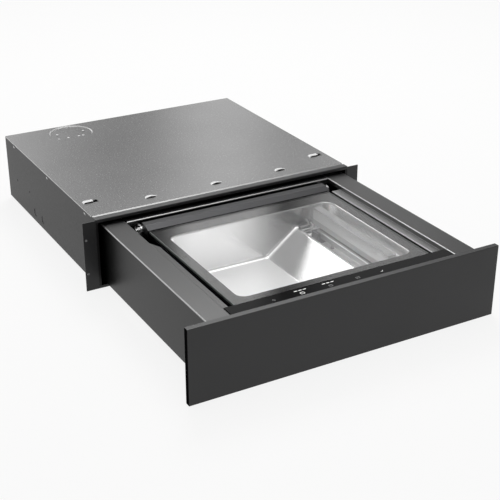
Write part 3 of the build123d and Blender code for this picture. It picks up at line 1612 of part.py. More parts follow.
pieces = {
    "housing_base": make_housing_base(),
    "housing_side_right": make_housing_side(),
    "housing_side_left": mirrored(make_housing_side()),
    "housing_back": make_housing_back(),
    "top_cover": make_top_cover(),
    "front_frame": make_front_frame(),
    "housing_screws": make_housing_screws(),
    "lead_gland": make_lead_gland(),
    "rear_buffers": make_rear_buffers(),
    "latch_body": make_latch_body(),
    "latch_plunger": make_latch_plunger(),
    "latch_striker": make_latch_striker(),
    "runner_bracket_right": make_runner_bracket(),
    "runner_bracket_left": mirrored(make_runner_bracket()),
    "runner_outer_right": make_runner_outer(),
    "runner_outer_left": mirrored(make_runner_outer()),
    "runner_middle_right": make_runner_middle(),
    "runner_middle_left": mirrored(make_runner_middle()),
    "ball_cages_right": make_ball_cages(),
    "ball_cages_left": mirrored(make_ball_cages()),
    "runner_inner_right": make_runner_inner(),
    "runner_inner_left": mirrored(make_runner_inner()),
    "drawer_side_right": make_drawer_side_right(),
    "drawer_side_left": make_drawer_side_left(),
    "drawer_floor": make_drawer_floor(),
    "drawer_rear": make_drawer_rear(),
    "drawer_screws": make_drawer_screws(),
    "bay_bulkhead": make_bay_bulkhead(),
    "bay_cover": make_bay_cover(),
    "front_carrier": make_front_carrier(),
    "front_panel": make_front_panel(),
    "control_glass": make_control_glass(),
    "control_holder": make_control_holder(),
    "control_board": make_control_board(),
    "chamber_tub": make_chamber_tub(),
    "tub_supports": make_tub_supports(),
    "lid_seal": make_lid_seal(),
    "lid_glass": make_lid_glass(),
    "hinge_rail": make_hinge_rail(),
    "hinge_shaft": make_hinge_shaft(),
    "hinge_brackets": make_hinge_brackets(),
    "hinge_springs": make_hinge_springs(),
    "counter_holder": make_counter_holder(),
    "counter_bar": make_counter_bar(),
    "sealing_bar": make_sealing_bar(),
    "heating_strip": make_heating_strip(),
    "lift_pins": make_lift_pins(),
    "bar_end_blocks": make_bar_end_blocks(),
    "lift_cylinders": make_lift_cylinders(),
    "bag_clip": make_bag_clip(),
    "pump_motor": make_pump_motor(),
    "pump_head": make_pump_head(),
    "pump_mounts": make_pump_mounts(),
    "pump_rotor": make_pump_rotor(),
    "valve_block": make_valve_block(),
    "vacuum_hoses": make_vacuum_hoses(),
    "transformer": make_transformer(),
    "power_board": make_power_board(),
    "fan_frame": make_fan_frame(),
    "fan_rotor": make_fan_rotor(),
}

# The part's own origin is the middle of the underside of the housing
to_origin = Pos(0, -housing_depth / 2, 0)
os.makedirs("parts", exist_ok=True)
for name, piece in pieces.items():
    export_step(to_origin * piece, f"parts/{name}.step")
print("pieces", len(pieces))
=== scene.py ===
import json
import math

import bpy
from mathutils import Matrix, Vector


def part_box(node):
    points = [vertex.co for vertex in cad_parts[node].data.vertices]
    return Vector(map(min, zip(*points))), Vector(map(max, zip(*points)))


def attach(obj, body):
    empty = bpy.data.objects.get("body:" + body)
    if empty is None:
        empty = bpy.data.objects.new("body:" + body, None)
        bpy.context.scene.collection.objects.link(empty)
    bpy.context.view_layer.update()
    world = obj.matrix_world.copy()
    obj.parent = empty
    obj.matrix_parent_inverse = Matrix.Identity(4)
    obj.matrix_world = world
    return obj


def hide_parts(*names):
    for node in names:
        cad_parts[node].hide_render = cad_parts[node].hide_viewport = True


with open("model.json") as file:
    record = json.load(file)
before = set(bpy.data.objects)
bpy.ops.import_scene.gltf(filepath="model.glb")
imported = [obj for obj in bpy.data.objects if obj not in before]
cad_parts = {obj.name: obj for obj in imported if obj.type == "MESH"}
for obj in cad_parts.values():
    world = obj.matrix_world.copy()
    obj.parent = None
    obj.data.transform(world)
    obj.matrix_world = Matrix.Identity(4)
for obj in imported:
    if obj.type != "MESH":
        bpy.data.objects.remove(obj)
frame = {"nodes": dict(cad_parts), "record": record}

bl_info = {
    "name": "Vacuum sealing drawer",
    "version": (1, 0, 0),
    "blender": (4, 5, 0),
    "location": "View3D > Sidebar > Vacuum drawer",
    "description": "Dresses a built-in drawer with a vacuum chamber, a glass lid and a touch bar",
    "category": "Object",
}

MM = 0.001


def linear(hex_colour):
    """The linear colour of an sRGB hex value."""
    channels = [int(hex_colour[i:i + 2], 16) / 255 for i in (1, 3, 5)]
    return tuple(
        c / 12.92 if c <= 0.04045 else ((c + 0.055) / 1.055) ** 2.4 for c in channels) + (1.0,)


WHITE = linear("#ffffff")


def per_metre(size_mm):
    """How often a pattern of a size in millimetres repeats in a metre."""
    return 1000 / size_mm


def span(low, high):
    """The values between which a Map Range node reads."""
    return {"From Min": low, "From Max": high}


# nearly all of a noise lies between these values
NOISE = span(0.3, 0.7)


def colour_of(label, hex_colour, description):
    """A colour that a user may change."""
    return bpy.props.FloatVectorProperty(
        name=label, description=description, subtype="COLOR", size=4, min=0, max=1,
        default=linear(hex_colour),
    )


def length_of(label, millimetres, description):
    """A length that a user may change, kept in metres."""
    return bpy.props.FloatProperty(
        name=label, description=description, subtype="DISTANCE", unit="LENGTH",
        default=millimetres * MM, precision=5,
    )


class DrawerColours(bpy.types.PropertyGroup):
    """Colours of the finishes."""

    coated_sheet: colour_of("Coated sheet", "#909090", "Bare coated steel of cover and carriers")
    # painted shade: a darker copy of the cover's coated sheet for the walls, back and base of the
    # housing
    housing_side_shade: colour_of("Housing side", "#2c2c2c", "Coated steel of the housing walls")
    frame_powder: colour_of("Frame powder coat", "#232324", "Powder coat of the mouth frame")
    drawer_coat: colour_of("Drawer coat", "#505050", "Coat of the drawer's sides and ledges")
    panel_coat: colour_of("Panel coat", "#1e1e1f", "Satin anthracite of the front panel")
    # painted shade: a darker, matte copy of the panel coat on the narrow ends of the front panel
    panel_end_shade: colour_of("Panel end", "#0e0e0f", "Coat of the narrow ends of the front panel")
    print_black: colour_of("Printed black", "#0c0c0d", "Ceramic print behind the touch glass")
    border_print: colour_of("Lid border", "#111111", "Dark ceramic print of the lid's border")
    glass_tint: colour_of("Lid glass", "#fdfdfd", "Clear white glass")
    chamber_steel: colour_of("Chamber steel", "#eeeeee", "Drawn stainless steel")
    # painted shade: a darker copy of the cover's coat on the folds of its step
    joggle_shade: colour_of("Joggled sheet", "#6c6c6c", "Coat over the step of the top cover")
    # painted light: a nearly white, mostly matte copy of the chamber steel that keeps the chamber
    # floors bright
    lit_floor_colour: colour_of("Etched steel", "#fafafa", "Dull stainless floors of the chamber")
    plated_wire: colour_of("Plated wire", "#fafafa", "Nickel plate of the bag clip")
    # bare zinc of the sheared edges, and painted highlight on the lanced tongues and the tops of
    # the bosses
    bare_zinc_and_highlight: colour_of("Bare zinc", "#dedede", "Burnished metal of lanced and sheared places")
    # painted highlight: a lighter copy of the coat on the rounded folds, for the light line that
    # the folds catch
    fold_highlight: colour_of("Fold line", "#8e8e8e", "Coat stretched bright over the folds")
    # painted shade: a darker copy of the drawer coat on the outer walls of the drawer sides
    drawer_wall_shade: colour_of("Drawer wall", "#262626", "Coat of the drawer's outer walls")
    # painted light: a lighter copy of the drawer coat on the right inner wall and its shelf only
    inner_wall_light: colour_of("Inner wall", "#7e7e7e", "Coat of the right inner wall and its shelf")
    glass_edge: colour_of("Glass edge", "#7d8380", "Ground edge of the lid glass")
    bright_steel: colour_of("Bright steel", "#c4c4c4", "Ground and polished steel")
    zinc_plate: colour_of("Zinc plate", "#a7a8aa", "Zinc plated runner steel")
    rail_anodised: colour_of("Rail", "#3b3b3c", "Dark anodised hinge rail")
    bar_anodised: colour_of("Bars", "#dcdcdc", "Natural anodised bars")
    heater_tape: colour_of("Heater tape", "#8c8b8a", "Glass cloth tape over the heating strip")
    gasket: colour_of("Gasket", "#4b4b4b", "Grey silicone of the gasket")
    counter_silicone: colour_of("Counter bar", "#b8b8b8", "Pale silicone of the counter bar")
    adhesive: colour_of("Adhesive", "#919191", "Glue between the glass and the counter holder")
    rubber: colour_of("Rubber", "#1b1b1b", "Black rubber of buffers and mounts")
    dark_plastic: colour_of("Dark plastic", "#202021", "Black moulded plastic")
    grey_plastic: colour_of("Grey plastic", "#7d7d7f", "Grey moulded plastic")
    board_mask: colour_of("Circuit board", "#1d4a2c", "Solder mask of the boards")
    motor_enamel: colour_of("Motor", "#2a2b2e", "Enamel of the pump motor")
    cast_alloy: colour_of("Cast alloy", "#a9aaab", "Blasted cast aluminium")
    core_varnish: colour_of("Core varnish", "#4a4642", "Varnished transformer core")
    hose: colour_of("Hoses", "#c9c8c2", "Milky silicone of the hoses")
    icon_print: colour_of("Touch signs", "#8c8c8c", "Grey printed signs of the touch bar")
    indicator: colour_of("Indicator bars", "#f4f4f2", "Lit bars and signs of the touch bar")
    floor: colour_of("Floor", "#f4f4f3", "Pale floor")


class DrawerSizes(bpy.types.PropertyGroup):
    """Sizes of what is modelled here and has no CAD piece of its own."""

    edge: length_of("Edge break", 0.35, "Width of the broken edges of folded sheet")
    panel_edge: length_of("Panel edge", 0.5, "Width of the broken edges of the front panel")
    rim_radius: length_of("Rim radius", 4.0, "Radius drawn round the rim of the chamber")
    print_depth: length_of("Print", 0.08, "Thickness of the print under the lid")
    glue: length_of("Glue", 0.15, "Glue between the glass and the holder of the counter bar")
    print_gap: length_of("Print gap", 0.03, "Clearance between the glass and its print")
    window_half: length_of(
        "Window half width", 170.0, "From the middle of the lid to the side of its window")
    window_front: length_of("Window front", -603.7, "Front edge of the window")
    window_rear: length_of("Window rear", -337.0, "Rear edge of the window")
    window_corner: length_of("Window corner", 17.0, "Corner radius of the window")
    sign_height: length_of("Sign height", 0.06, "From the touch glass to the tops of the signs")


class DrawerStage(bpy.types.PropertyGroup):
    """Camera, lamps and floor."""

    camera_place: bpy.props.FloatVectorProperty(
        name="Camera", description="Place of the camera", subtype="TRANSLATION", unit="LENGTH",
        default=(-0.9169, -1.9638, 0.9438))
    camera_target: bpy.props.FloatVectorProperty(
        name="Target", description="Point that the camera looks at", subtype="TRANSLATION",
        unit="LENGTH", default=(-0.0099, -0.3530, 0.0577))
    camera_lens: bpy.props.FloatProperty(
        name="Lens", description="Focal length for a sensor 36 mm wide",
        subtype="DISTANCE_CAMERA", default=80.1)
    world_light: bpy.props.FloatProperty(
        name="World light", description="Strength of the world for matte surfaces",
        default=0.4, min=0)
    rear_lamp: bpy.props.FloatProperty(
        name="Rear lamp", description="Softbox above and behind, on the right", subtype="POWER",
        unit="POWER", default=34.0)
    top_lamp: bpy.props.FloatProperty(
        name="Top lamp", description="Softbox overhead", subtype="POWER", unit="POWER",
        default=14.0)
    dim_ceiling: bpy.props.FloatProperty(
        name="Dim ceiling", description="How bright metal and glass mirror the low ceiling",
        default=0.24, min=0)
    chamber_light: bpy.props.FloatProperty(
        name="Chamber light", description="What the world gains where it is seen through glass",
        default=1.1, min=0)
    overhead: bpy.props.FloatProperty(
        name="Overhead", description="What the ceiling straight overhead adds to the dim one",
        default=1.5, min=0)


# Nodes and finishes

def add(tree, kind, inputs=None, **settings):
    """Adds one node, sets it, and fills its inputs or links them, to a node's first output."""
    node = tree.nodes.new(kind)
    for name, value in settings.items():
        setattr(node, name, value)
    for name, value in (inputs or {}).items():
        if isinstance(value, bpy.types.Node):
            value = value.outputs[0]
        if isinstance(value, bpy.types.NodeSocket):
            tree.links.new(value, node.inputs[name])
        else:
            node.inputs[name].default_value = value
    return node


def new_finish(name, **constants):
    """A material with constants on its shader, its node tree, and the object's place."""
    material = bpy.data.materials.new(name)
    material.use_nodes = True
    tree = material.node_tree
    for socket, value in constants.items():
        tree.nodes["Principled BSDF"].inputs[socket.replace("_", " ")].default_value = value
    return material, tree, add(tree, "ShaderNodeTexCoord").outputs["Object"]


def wire(tree, **sources):
    """Links the first outputs of nodes to the shader's sockets of those names."""
    for socket, node in sources.items():
        shader_input = tree.nodes["Principled BSDF"].inputs[socket.replace("_", " ")]
        tree.links.new(node.outputs[0], shader_input)


def coated_sheet(name, colour, roughness, frost_depth):
    """Coated sheet steel or blasted alloy: satin metal with a fine frost like orange peel."""
    material, tree, place = new_finish(name, Metallic=1.0)
    # the frost of the coating is under 1 mm and is drawn at 2.6 mm so that it shows
    frost = add(tree, "ShaderNodeTexNoise", {"Vector": place, "Scale": per_metre(2.6)})
    cloud = add(tree, "ShaderNodeTexNoise", {"Vector": place, "Scale": per_metre(140)})
    shade = add(tree, "ShaderNodeMapRange", {
        "Value": frost, **NOISE, "To Min": 1 - frost_depth, "To Max": 1 + frost_depth})
    drift = add(tree, "ShaderNodeMapRange", {
        "Value": cloud, **NOISE, "To Min": 0.96, "To Max": 1.04})
    tone = add(tree, "ShaderNodeMath", {0: shade, 1: drift}, operation="MULTIPLY")
    base = add(tree, "ShaderNodeVectorMath", {0: colour[:3], 3: tone}, operation="SCALE")
    rough = add(tree, "ShaderNodeMapRange", {
        "Value": frost, **NOISE,
        "To Min": roughness - 0.4 * frost_depth, "To Max": roughness + 0.4 * frost_depth})
    bump = add(tree, "ShaderNodeBump", {
        "Height": frost, "Strength": 0.12, "Distance": frost_depth * MM})
    wire(tree, Base_Color=base, Roughness=rough, Normal=bump)
    return material


def powder_coat(name, colour, roughness, grain_mm, gloss=0.45):
    """Baked powder coat, enamel, ceramic print or tape: matte to satin with a fine grain."""
    material, tree, place = new_finish(name, Metallic=0.0, Specular_IOR_Level=gloss)
    # real orange peel is about 1 mm and is drawn a little coarser so that it shows
    peel = add(tree, "ShaderNodeTexNoise", {"Vector": place, "Scale": per_metre(grain_mm)})
    cloud = add(tree, "ShaderNodeTexNoise", {
        "Vector": place, "Scale": per_metre(90), "Detail": 3.0})
    tone = add(tree, "ShaderNodeMapRange", {
        "Value": cloud, **NOISE, "To Min": 0.96, "To Max": 1.04})
    speck = add(tree, "ShaderNodeMapRange", {
        "Value": peel, **NOISE, "To Min": 0.95, "To Max": 1.05})
    both = add(tree, "ShaderNodeMath", {0: tone, 1: speck}, operation="MULTIPLY")
    base = add(tree, "ShaderNodeVectorMath", {0: colour[:3], 3: both}, operation="SCALE")
    rough = add(tree, "ShaderNodeMapRange", {
        "Value": cloud, **NOISE, "To Min": roughness - 0.03, "To Max": roughness + 0.04})
    bump = add(tree, "ShaderNodeBump", {"Height": peel, "Strength": 0.3, "Distance": 0.04 * MM})
    wire(tree, Base_Color=base, Roughness=rough, Normal=bump)
    return material


def lined_metal(name, colour, roughness, x_mm, y_mm, depth_mm, metallic=1.0):
    """Bare, plated or anodised metal with fine lines, as left by drawing, grinding or stacking.

    The lines measure x_mm along X and Z, and y_mm along Y. They run along the longer one.
    """
    material, tree, place = new_finish(name, Metallic=metallic)
    # real lines are finer and are drawn as coarse as they need to show
    along = add(tree, "ShaderNodeMapping", {
        "Vector": place, "Scale": (per_metre(x_mm), per_metre(y_mm), per_metre(x_mm))})
    lines = add(tree, "ShaderNodeTexNoise", {"Vector": along, "Scale": 1.0, "Detail": 3.0})
    smudge = add(tree, "ShaderNodeTexNoise", {
        "Vector": place, "Scale": per_metre(60), "Detail": 3.0})
    tone = add(tree, "ShaderNodeMapRange", {
        "Value": lines, **NOISE, "To Min": 0.94, "To Max": 1.05})
    base = add(tree, "ShaderNodeVectorMath", {0: colour[:3], 3: tone}, operation="SCALE")
    worn = add(tree, "ShaderNodeMath", {0: lines, 1: smudge})
    rough = add(tree, "ShaderNodeMapRange", {
        "Value": worn, **span(0.7, 1.3), "To Min": roughness - 0.04, "To Max": roughness + 0.05})
    bump = add(tree, "ShaderNodeBump", {
        "Height": lines, "Strength": 0.2, "Distance": depth_mm * MM})
    wire(tree, Base_Color=base, Roughness=rough, Normal=bump)
    return material


def drawn_steel(name, colour, roughness, metallic=1.0):
    """Deep drawn stainless steel: an even satin with a barely uneven gloss."""
    material, tree, place = new_finish(name, Metallic=metallic)
    # real satin is finer and is drawn at 3 mm so that it shows
    satin = add(tree, "ShaderNodeTexNoise", {"Vector": place, "Scale": per_metre(3), "Detail": 3.0})
    pull = add(tree, "ShaderNodeTexNoise", {"Vector": place, "Scale": per_metre(55)})
    tone = add(tree, "ShaderNodeMapRange", {
        "Value": satin, "To Min": 0.95, "To Max": 1.03}, clamp=False)
    base = add(tree, "ShaderNodeVectorMath", {0: colour[:3], 3: tone}, operation="SCALE")
    rough = add(tree, "ShaderNodeMapRange", {
        "Value": pull, "To Min": roughness - 0.04, "To Max": roughness + 0.04}, clamp=False)
    bump = add(tree, "ShaderNodeBump", {"Height": satin, "Strength": 0.15, "Distance": 0.02 * MM})
    wire(tree, Base_Color=base, Roughness=rough, Normal=bump)
    return material


def soft_or_moulded(name, colour, roughness, grain_mm, specular, sheen=0.0, subsurface=0.0):
    """Silicone, rubber, plastic or ground glass with the fine texture of its mould or grinding."""
    material, tree, place = new_finish(
        name, Metallic=0.0, Specular_IOR_Level=specular, Sheen_Weight=sheen,
        Subsurface_Weight=subsurface, Subsurface_Scale=2 * MM)
    # the real texture is finer and is drawn as coarse as it needs to show
    mould = add(tree, "ShaderNodeTexVoronoi", {"Vector": place, "Scale": per_metre(grain_mm)})
    dust = add(tree, "ShaderNodeTexNoise", {"Vector": place, "Scale": per_metre(25), "Detail": 4.0})
    tone = add(tree, "ShaderNodeMapRange", {
        "Value": dust, **NOISE, "To Min": 0.9, "To Max": 1.1})
    base = add(tree, "ShaderNodeVectorMath", {0: colour[:3], 3: tone}, operation="SCALE")
    rough = add(tree, "ShaderNodeMapRange", {
        "Value": dust, **NOISE, "To Min": roughness - 0.05, "To Max": roughness + 0.06})
    bump = add(tree, "ShaderNodeBump", {"Height": mould, "Strength": 0.2, "Distance": 0.05 * MM})
    wire(tree, Base_Color=base, Roughness=rough, Normal=bump)
    return material


def glass_finish(name, colour):
    """Float glass with polished faces: clear, with the faint smears of wiping in its gloss."""
    material, tree, place = new_finish(name, Transmission_Weight=1.0, IOR=1.46, Base_Color=colour)
    smear = add(tree, "ShaderNodeTexNoise", {
        "Vector": place, "Scale": per_metre(120), "Detail": 3.0})
    rough = add(tree, "ShaderNodeMapRange", {"Value": smear, "To Max": 0.004})
    wire(tree, Roughness=rough)
    return material


def black_glass_finish(name, colour):
    """Glass printed black from behind: deep black under a gloss with faint smears."""
    # the low IOR keeps the white surroundings from greying the black
    material, tree, place = new_finish(name, Metallic=0.0, IOR=1.16)
    smear = add(tree, "ShaderNodeTexNoise", {
        "Vector": place, "Scale": per_metre(35), "Detail": 4.0})
    tone = add(tree, "ShaderNodeMapRange", {
        "Value": smear, **NOISE, "To Min": 0.9, "To Max": 1.15})
    base = add(tree, "ShaderNodeVectorMath", {0: colour[:3], 3: tone}, operation="SCALE")
    rough = add(tree, "ShaderNodeMapRange", {
        "Value": smear, **NOISE, "To Min": 0.06, "To Max": 0.12})
    wire(tree, Base_Color=base, Roughness=rough)
    return material


def circuit_finish(name, colour):
    """Glass epoxy board under green mask: dull green with paler copper tracks below it."""
    track_colour = linear("#3f7a4b")
    material, tree, place = new_finish(name, Metallic=0.0, Roughness=0.35)
    tracks = add(tree, "ShaderNodeTexBrick", {
        "Vector": place, "Scale": per_metre(18), "Color1": colour, "Color2": colour,
        "Mortar": track_colour, "Mortar Size": 0.04})
    flecks = add(tree, "ShaderNodeTexNoise", {"Vector": place, "Scale": per_metre(3)})
    bump = add(tree, "ShaderNodeBump", {
        "Height": tracks.outputs["Fac"], "Strength": 0.4, "Distance": 0.05 * MM})
    tone = add(tree, "ShaderNodeMapRange", {
        "Value": flecks, **NOISE, "To Min": 0.85, "To Max": 1.1})
    base = add(tree, "ShaderNodeVectorMath", {0: tracks.outputs["Color"], 3: tone},
               operation="SCALE")
    wire(tree, Base_Color=base, Normal=bump)
    return material


def lamp_print(name, colour, strength):
    """Translucent print over a small lamp: an even glow with a faint grain."""
    material, tree, place = new_finish(name, Metallic=0.0, Roughness=0.5, Emission_Color=colour)
    grain = add(tree, "ShaderNodeTexNoise", {"Vector": place, "Scale": per_metre(2)})
    tone = add(tree, "ShaderNodeMapRange", {
        "Value": grain, **NOISE, "To Min": 0.85, "To Max": 1.0})
    glow = add(tree, "ShaderNodeMath", {0: tone, 1: strength}, operation="MULTIPLY")
    base = add(tree, "ShaderNodeVectorMath", {0: colour[:3], 3: tone}, operation="SCALE")
    wire(tree, Base_Color=base, Emission_Strength=glow)
    return material


def make_finishes():
    """All finishes by name."""
    c = bpy.context.scene.drawer_colours
    return {
        # sheets and castings: roughness and depth of the frost
        "coated_sheet": coated_sheet("coated_sheet", c.coated_sheet, 0.25, 0.07),
        # painted shade on the walls of the housing, which are the same sheet as the cover
        "housing_side_shade": coated_sheet("housing_side_painted_shade", c.housing_side_shade, 0.42, 0.08),
        # painted shade on the folds of the step along the front of the cover
        "joggle_shade": coated_sheet("joggle_shade", c.joggle_shade, 0.4, 0.03),
        # painted shade on the outer walls of the drawer sides
        "drawer_wall_shade": coated_sheet("drawer_wall_painted_shade", c.drawer_wall_shade, 0.36, 0.03),
        # painted light on the right inner wall and its shelf
        "inner_wall_light": coated_sheet("inner_wall_painted_light", c.inner_wall_light, 0.34, 0.03),
        "drawer_coat": coated_sheet("drawer_side_sheet", c.drawer_coat, 0.3, 0.03),
        "cast_alloy": coated_sheet("blasted_cast_alloy", c.cast_alloy, 0.5, 0.1),
        # paints, prints and tape: roughness and grain in millimetres
        "frame_powder": powder_coat("frame_powder_coat", c.frame_powder, 0.45, 1.6),
        "panel_coat": powder_coat("panel_anthracite", c.panel_coat, 0.4, 1.4),
        # painted shade on the narrow ends of the front panel
        "panel_end_shade": powder_coat("panel_end_painted_shade", c.panel_end_shade, 0.6, 1.4, gloss=0.0),
        "border_print": powder_coat("border_ceramic_print", c.border_print, 0.5, 2.5, gloss=0.0),
        "heater_tape": powder_coat("glass_cloth_tape", c.heater_tape, 0.55, 0.8),
        "motor_enamel": powder_coat("motor_enamel", c.motor_enamel, 0.35, 2.5),
        # lined metals: roughness, then the lines' sizes along X and Y and their depth
        # bare zinc on sheared edges and painted highlight on lanced faces and boss tops
        "bare_zinc_and_highlight": lined_metal(
            "bare_zinc_painted_highlight", c.bare_zinc_and_highlight, 0.42, 0.8, 4, 0.01, metallic=0.25),
        # painted highlight on the rounded folds of the ledges, the side sheets and the bulkhead
        "fold_highlight": lined_metal("painted_fold_highlight", c.fold_highlight, 0.3, 0.8, 30, 0.01),
        "plated_wire": lined_metal(
            "nickel_plated_wire", c.plated_wire, 0.3, 0.6, 6, 0.01, metallic=0.05),
        "bright_steel": lined_metal("bright_steel", c.bright_steel, 0.22, 0.6, 6, 0.01),
        "zinc_plate": lined_metal("zinc_plated_runner", c.zinc_plate, 0.36, 2.0, 60, 0.02),
        "rail_anodised": lined_metal("dark_anodised_rail", c.rail_anodised, 0.42, 40, 1.0, 0.01),
        "bar_anodised": lined_metal("anodised_bar", c.bar_anodised, 0.36, 1.0, 50, 0.02),
        "core_varnish": lined_metal("varnished_core_stack", c.core_varnish, 0.45, 60, 0.7, 0.05),
        # steel of the chamber: roughness
        "chamber_steel": drawn_steel("drawn_chamber_steel", c.chamber_steel, 0.25),
        # painted light on the deep floor and the floor of the trough
        "lit_floor_steel": drawn_steel("painted_light_floor_steel", c.lit_floor_colour, 0.36, metallic=0.1),
        "rolled_rim": drawn_steel("rolled_rim_steel", c.chamber_steel, 0.16),
        # soft, moulded or ground: roughness, grain in millimetres and specular
        "gasket": soft_or_moulded("gasket_silicone", c.gasket, 0.6, 1.2, 0.4, sheen=0.2),
        "counter_silicone": soft_or_moulded(
            "counter_silicone", c.counter_silicone, 0.5, 1.5, 0.4, subsurface=0.15),
        "hose": soft_or_moulded("hose_silicone", c.hose, 0.4, 2.0, 0.5, subsurface=0.3),
        "adhesive": soft_or_moulded("grey_adhesive", c.adhesive, 0.5, 1.5, 0.2),
        "rubber": soft_or_moulded("black_rubber", c.rubber, 0.7, 1.0, 0.35, sheen=0.3),
        "dark_plastic": soft_or_moulded("dark_moulded_plastic", c.dark_plastic, 0.5, 0.9, 0.5),
        "grey_plastic": soft_or_moulded("grey_moulded_plastic", c.grey_plastic, 0.48, 0.9, 0.5),
        "glass_edge": soft_or_moulded("ground_glass_edge", c.glass_edge, 0.3, 0.8, 0.5),
        # glass and boards
        "lid_glass": glass_finish("clear_lid_glass", c.glass_tint),
        "black_glass": black_glass_finish("touch_bar_glass", c.print_black),
        "board_mask": circuit_finish("circuit_board", c.board_mask),
        # lit prints: strength of their glow
        "indicator": lamp_print("indicator_print", c.indicator, 1.0),
        "lit_print": lamp_print("lit_sign_print", c.indicator, 0.5),
        "icon_print": lamp_print("touch_sign_print", c.icon_print, 0.15),
    }


finishes = {}


# Pieces

def only(piece):
    """Selects one object alone and makes it the active one."""
    bpy.ops.object.select_all(action="DESELECT")
    piece.select_set(True)
    bpy.context.view_layer.objects.active = piece


def body_of(node):
    """The body that a CAD node rides on."""
    bodies = frame["record"]["behaviour"]["bodies"]
    return next(body for body, nodes in bodies.items() if node in nodes)


def merge_mesh(piece):
    """Merges the corners that CAD faces share and joins what lies in one plane."""
    only(piece)
    if piece.data.has_custom_normals:
        bpy.ops.mesh.customdata_custom_splitnormals_clear()
    bpy.ops.object.mode_set(mode="EDIT")
    bpy.ops.mesh.select_all(action="SELECT")
    bpy.ops.mesh.remove_doubles(threshold=0.002 * MM)
    bpy.ops.mesh.dissolve_limited(angle_limit=math.radians(0.4))
    bpy.ops.mesh.normals_make_consistent(inside=False)
    bpy.ops.object.mode_set(mode="OBJECT")


def apply_modifier(piece, kind, **settings):
    """Adds a modifier, sets it and applies it."""
    only(piece)
    modifier = piece.modifiers.new(kind.lower(), kind)
    for name, value in settings.items():
        setattr(modifier, name, value)
    bpy.ops.object.modifier_apply(modifier=modifier.name)


def smooth(piece, angle):
    """Shades a piece smooth where its faces meet within an angle in degrees."""
    only(piece)
    bpy.ops.object.shade_smooth_by_angle(angle=math.radians(angle))
    apply_modifier(piece, "WEIGHTED_NORMAL", keep_sharp=True, weight=100)


def dress(node, finish, edge=0.0, angle=30.0):
    """A merged and smooth copy of a CAD piece with its finish, which stands for it."""
    piece = bpy.data.objects.new(node + "_dressed", frame["nodes"][node].data.copy())
    bpy.context.scene.collection.objects.link(piece)
    merge_mesh(piece)
    if edge > 0:
        apply_modifier(
            piece, "BEVEL", width=edge, segments=2, limit_method="ANGLE",
            angle_limit=math.radians(50), use_clamp_overlap=True)
    smooth(piece, angle)
    piece.data.materials.clear()
    piece.data.materials.append(finishes[finish])
    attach(piece, body_of(node))
    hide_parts(node)
    return piece


def choose(piece, kind, chosen):
    """Selects the faces or edges of a piece that chosen tells. Stays in edit mode."""
    only(piece)
    bpy.ops.object.mode_set(mode="EDIT")
    bpy.ops.mesh.select_mode(type=kind)
    bpy.ops.mesh.select_all(action="DESELECT")
    bpy.ops.object.mode_set(mode="OBJECT")
    for part in piece.data.polygons if kind == "FACE" else piece.data.edges:
        part.select = chosen(part)
    bpy.ops.object.mode_set(mode="EDIT")


def choose_faces(piece, chosen):
    """Selects some faces of a piece. chosen tells them by their middle and normal."""
    choose(piece, "FACE", lambda face: chosen(face.center / MM, face.normal))


def choose_edges(piece, chosen):
    """Selects some edges of a piece. chosen tells them by both their ends."""
    choose(piece, "EDGE", lambda edge: all(
        chosen(piece.data.vertices[corner].co / MM) for corner in edge.vertices))


def finish_faces(piece, finish, chosen):
    """Gives some faces of a piece a finish of their own."""
    piece.data.materials.append(finishes[finish])
    choose_faces(piece, chosen)
    piece.active_material_index = len(piece.data.materials) - 1
    bpy.ops.object.material_slot_assign()
    bpy.ops.object.mode_set(mode="OBJECT")


def finish_piece(piece, finish, body):
    """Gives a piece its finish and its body."""
    piece.data.materials.clear()
    piece.data.materials.append(finishes[finish])
    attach(piece, body)


def plane_piece(name, x0, x1, y0, y1, z):
    """A plane between four edges, in millimetres, left in edit mode and selected."""
    bpy.ops.object.select_all(action="DESELECT")
    bpy.ops.mesh.primitive_plane_add(size=1, location=(0, 0, 0))
    piece = bpy.context.active_object
    piece.name = name
    bpy.ops.object.mode_set(mode="EDIT")
    bpy.ops.mesh.select_all(action="SELECT")
    bpy.ops.transform.resize(value=((x1 - x0) * MM, (y1 - y0) * MM, 1), center_override=(0, 0, 0))
    bpy.ops.transform.translate(value=((x0 + x1) / 2 * MM, (y0 + y1) / 2 * MM, z * MM))
    return piece


def thicken(depth):
    """Draws the piece down by a depth in millimetres, and leaves edit mode."""
    bpy.ops.mesh.select_all(action="SELECT")
    bpy.ops.mesh.extrude_region_move(TRANSFORM_OT_translate={"value": (0, 0, -depth * MM)})
    bpy.ops.mesh.select_all(action="SELECT")
    bpy.ops.mesh.normals_make_consistent(inside=False)
    bpy.ops.object.mode_set(mode="OBJECT")


def copied(piece, shift):
    """A copy of a piece with its own mesh, moved along X by millimetres."""
    only(piece)
    bpy.ops.object.duplicate()
    bpy.ops.transform.translate(value=(shift * MM, 0, 0))
    bpy.ops.object.transform_apply()
    return bpy.context.active_object


def joined(name, parts):
    """Several objects joined into one piece."""
    bpy.ops.object.select_all(action="DESELECT")
    for part in parts:
        part.select_set(True)
    bpy.context.view_layer.objects.active = parts[0]
    bpy.ops.object.join()
    parts[0].name = name
    return parts[0]


# Where finishes change, in millimetres and by the normals of faces

FOLD_LEAN = (0.15, 0.98)


def within(value, limits):
    """Whether a value lies between two limits."""
    return limits[0] < value < limits[1]


def on_fold(middle, normal, lowest, sideways):
    """Whether a face is on a rounded top fold. sideways is how far its normal leans out."""
    return middle.z > lowest and within(sideways, FOLD_LEAN) and normal.z > FOLD_LEAN[0]


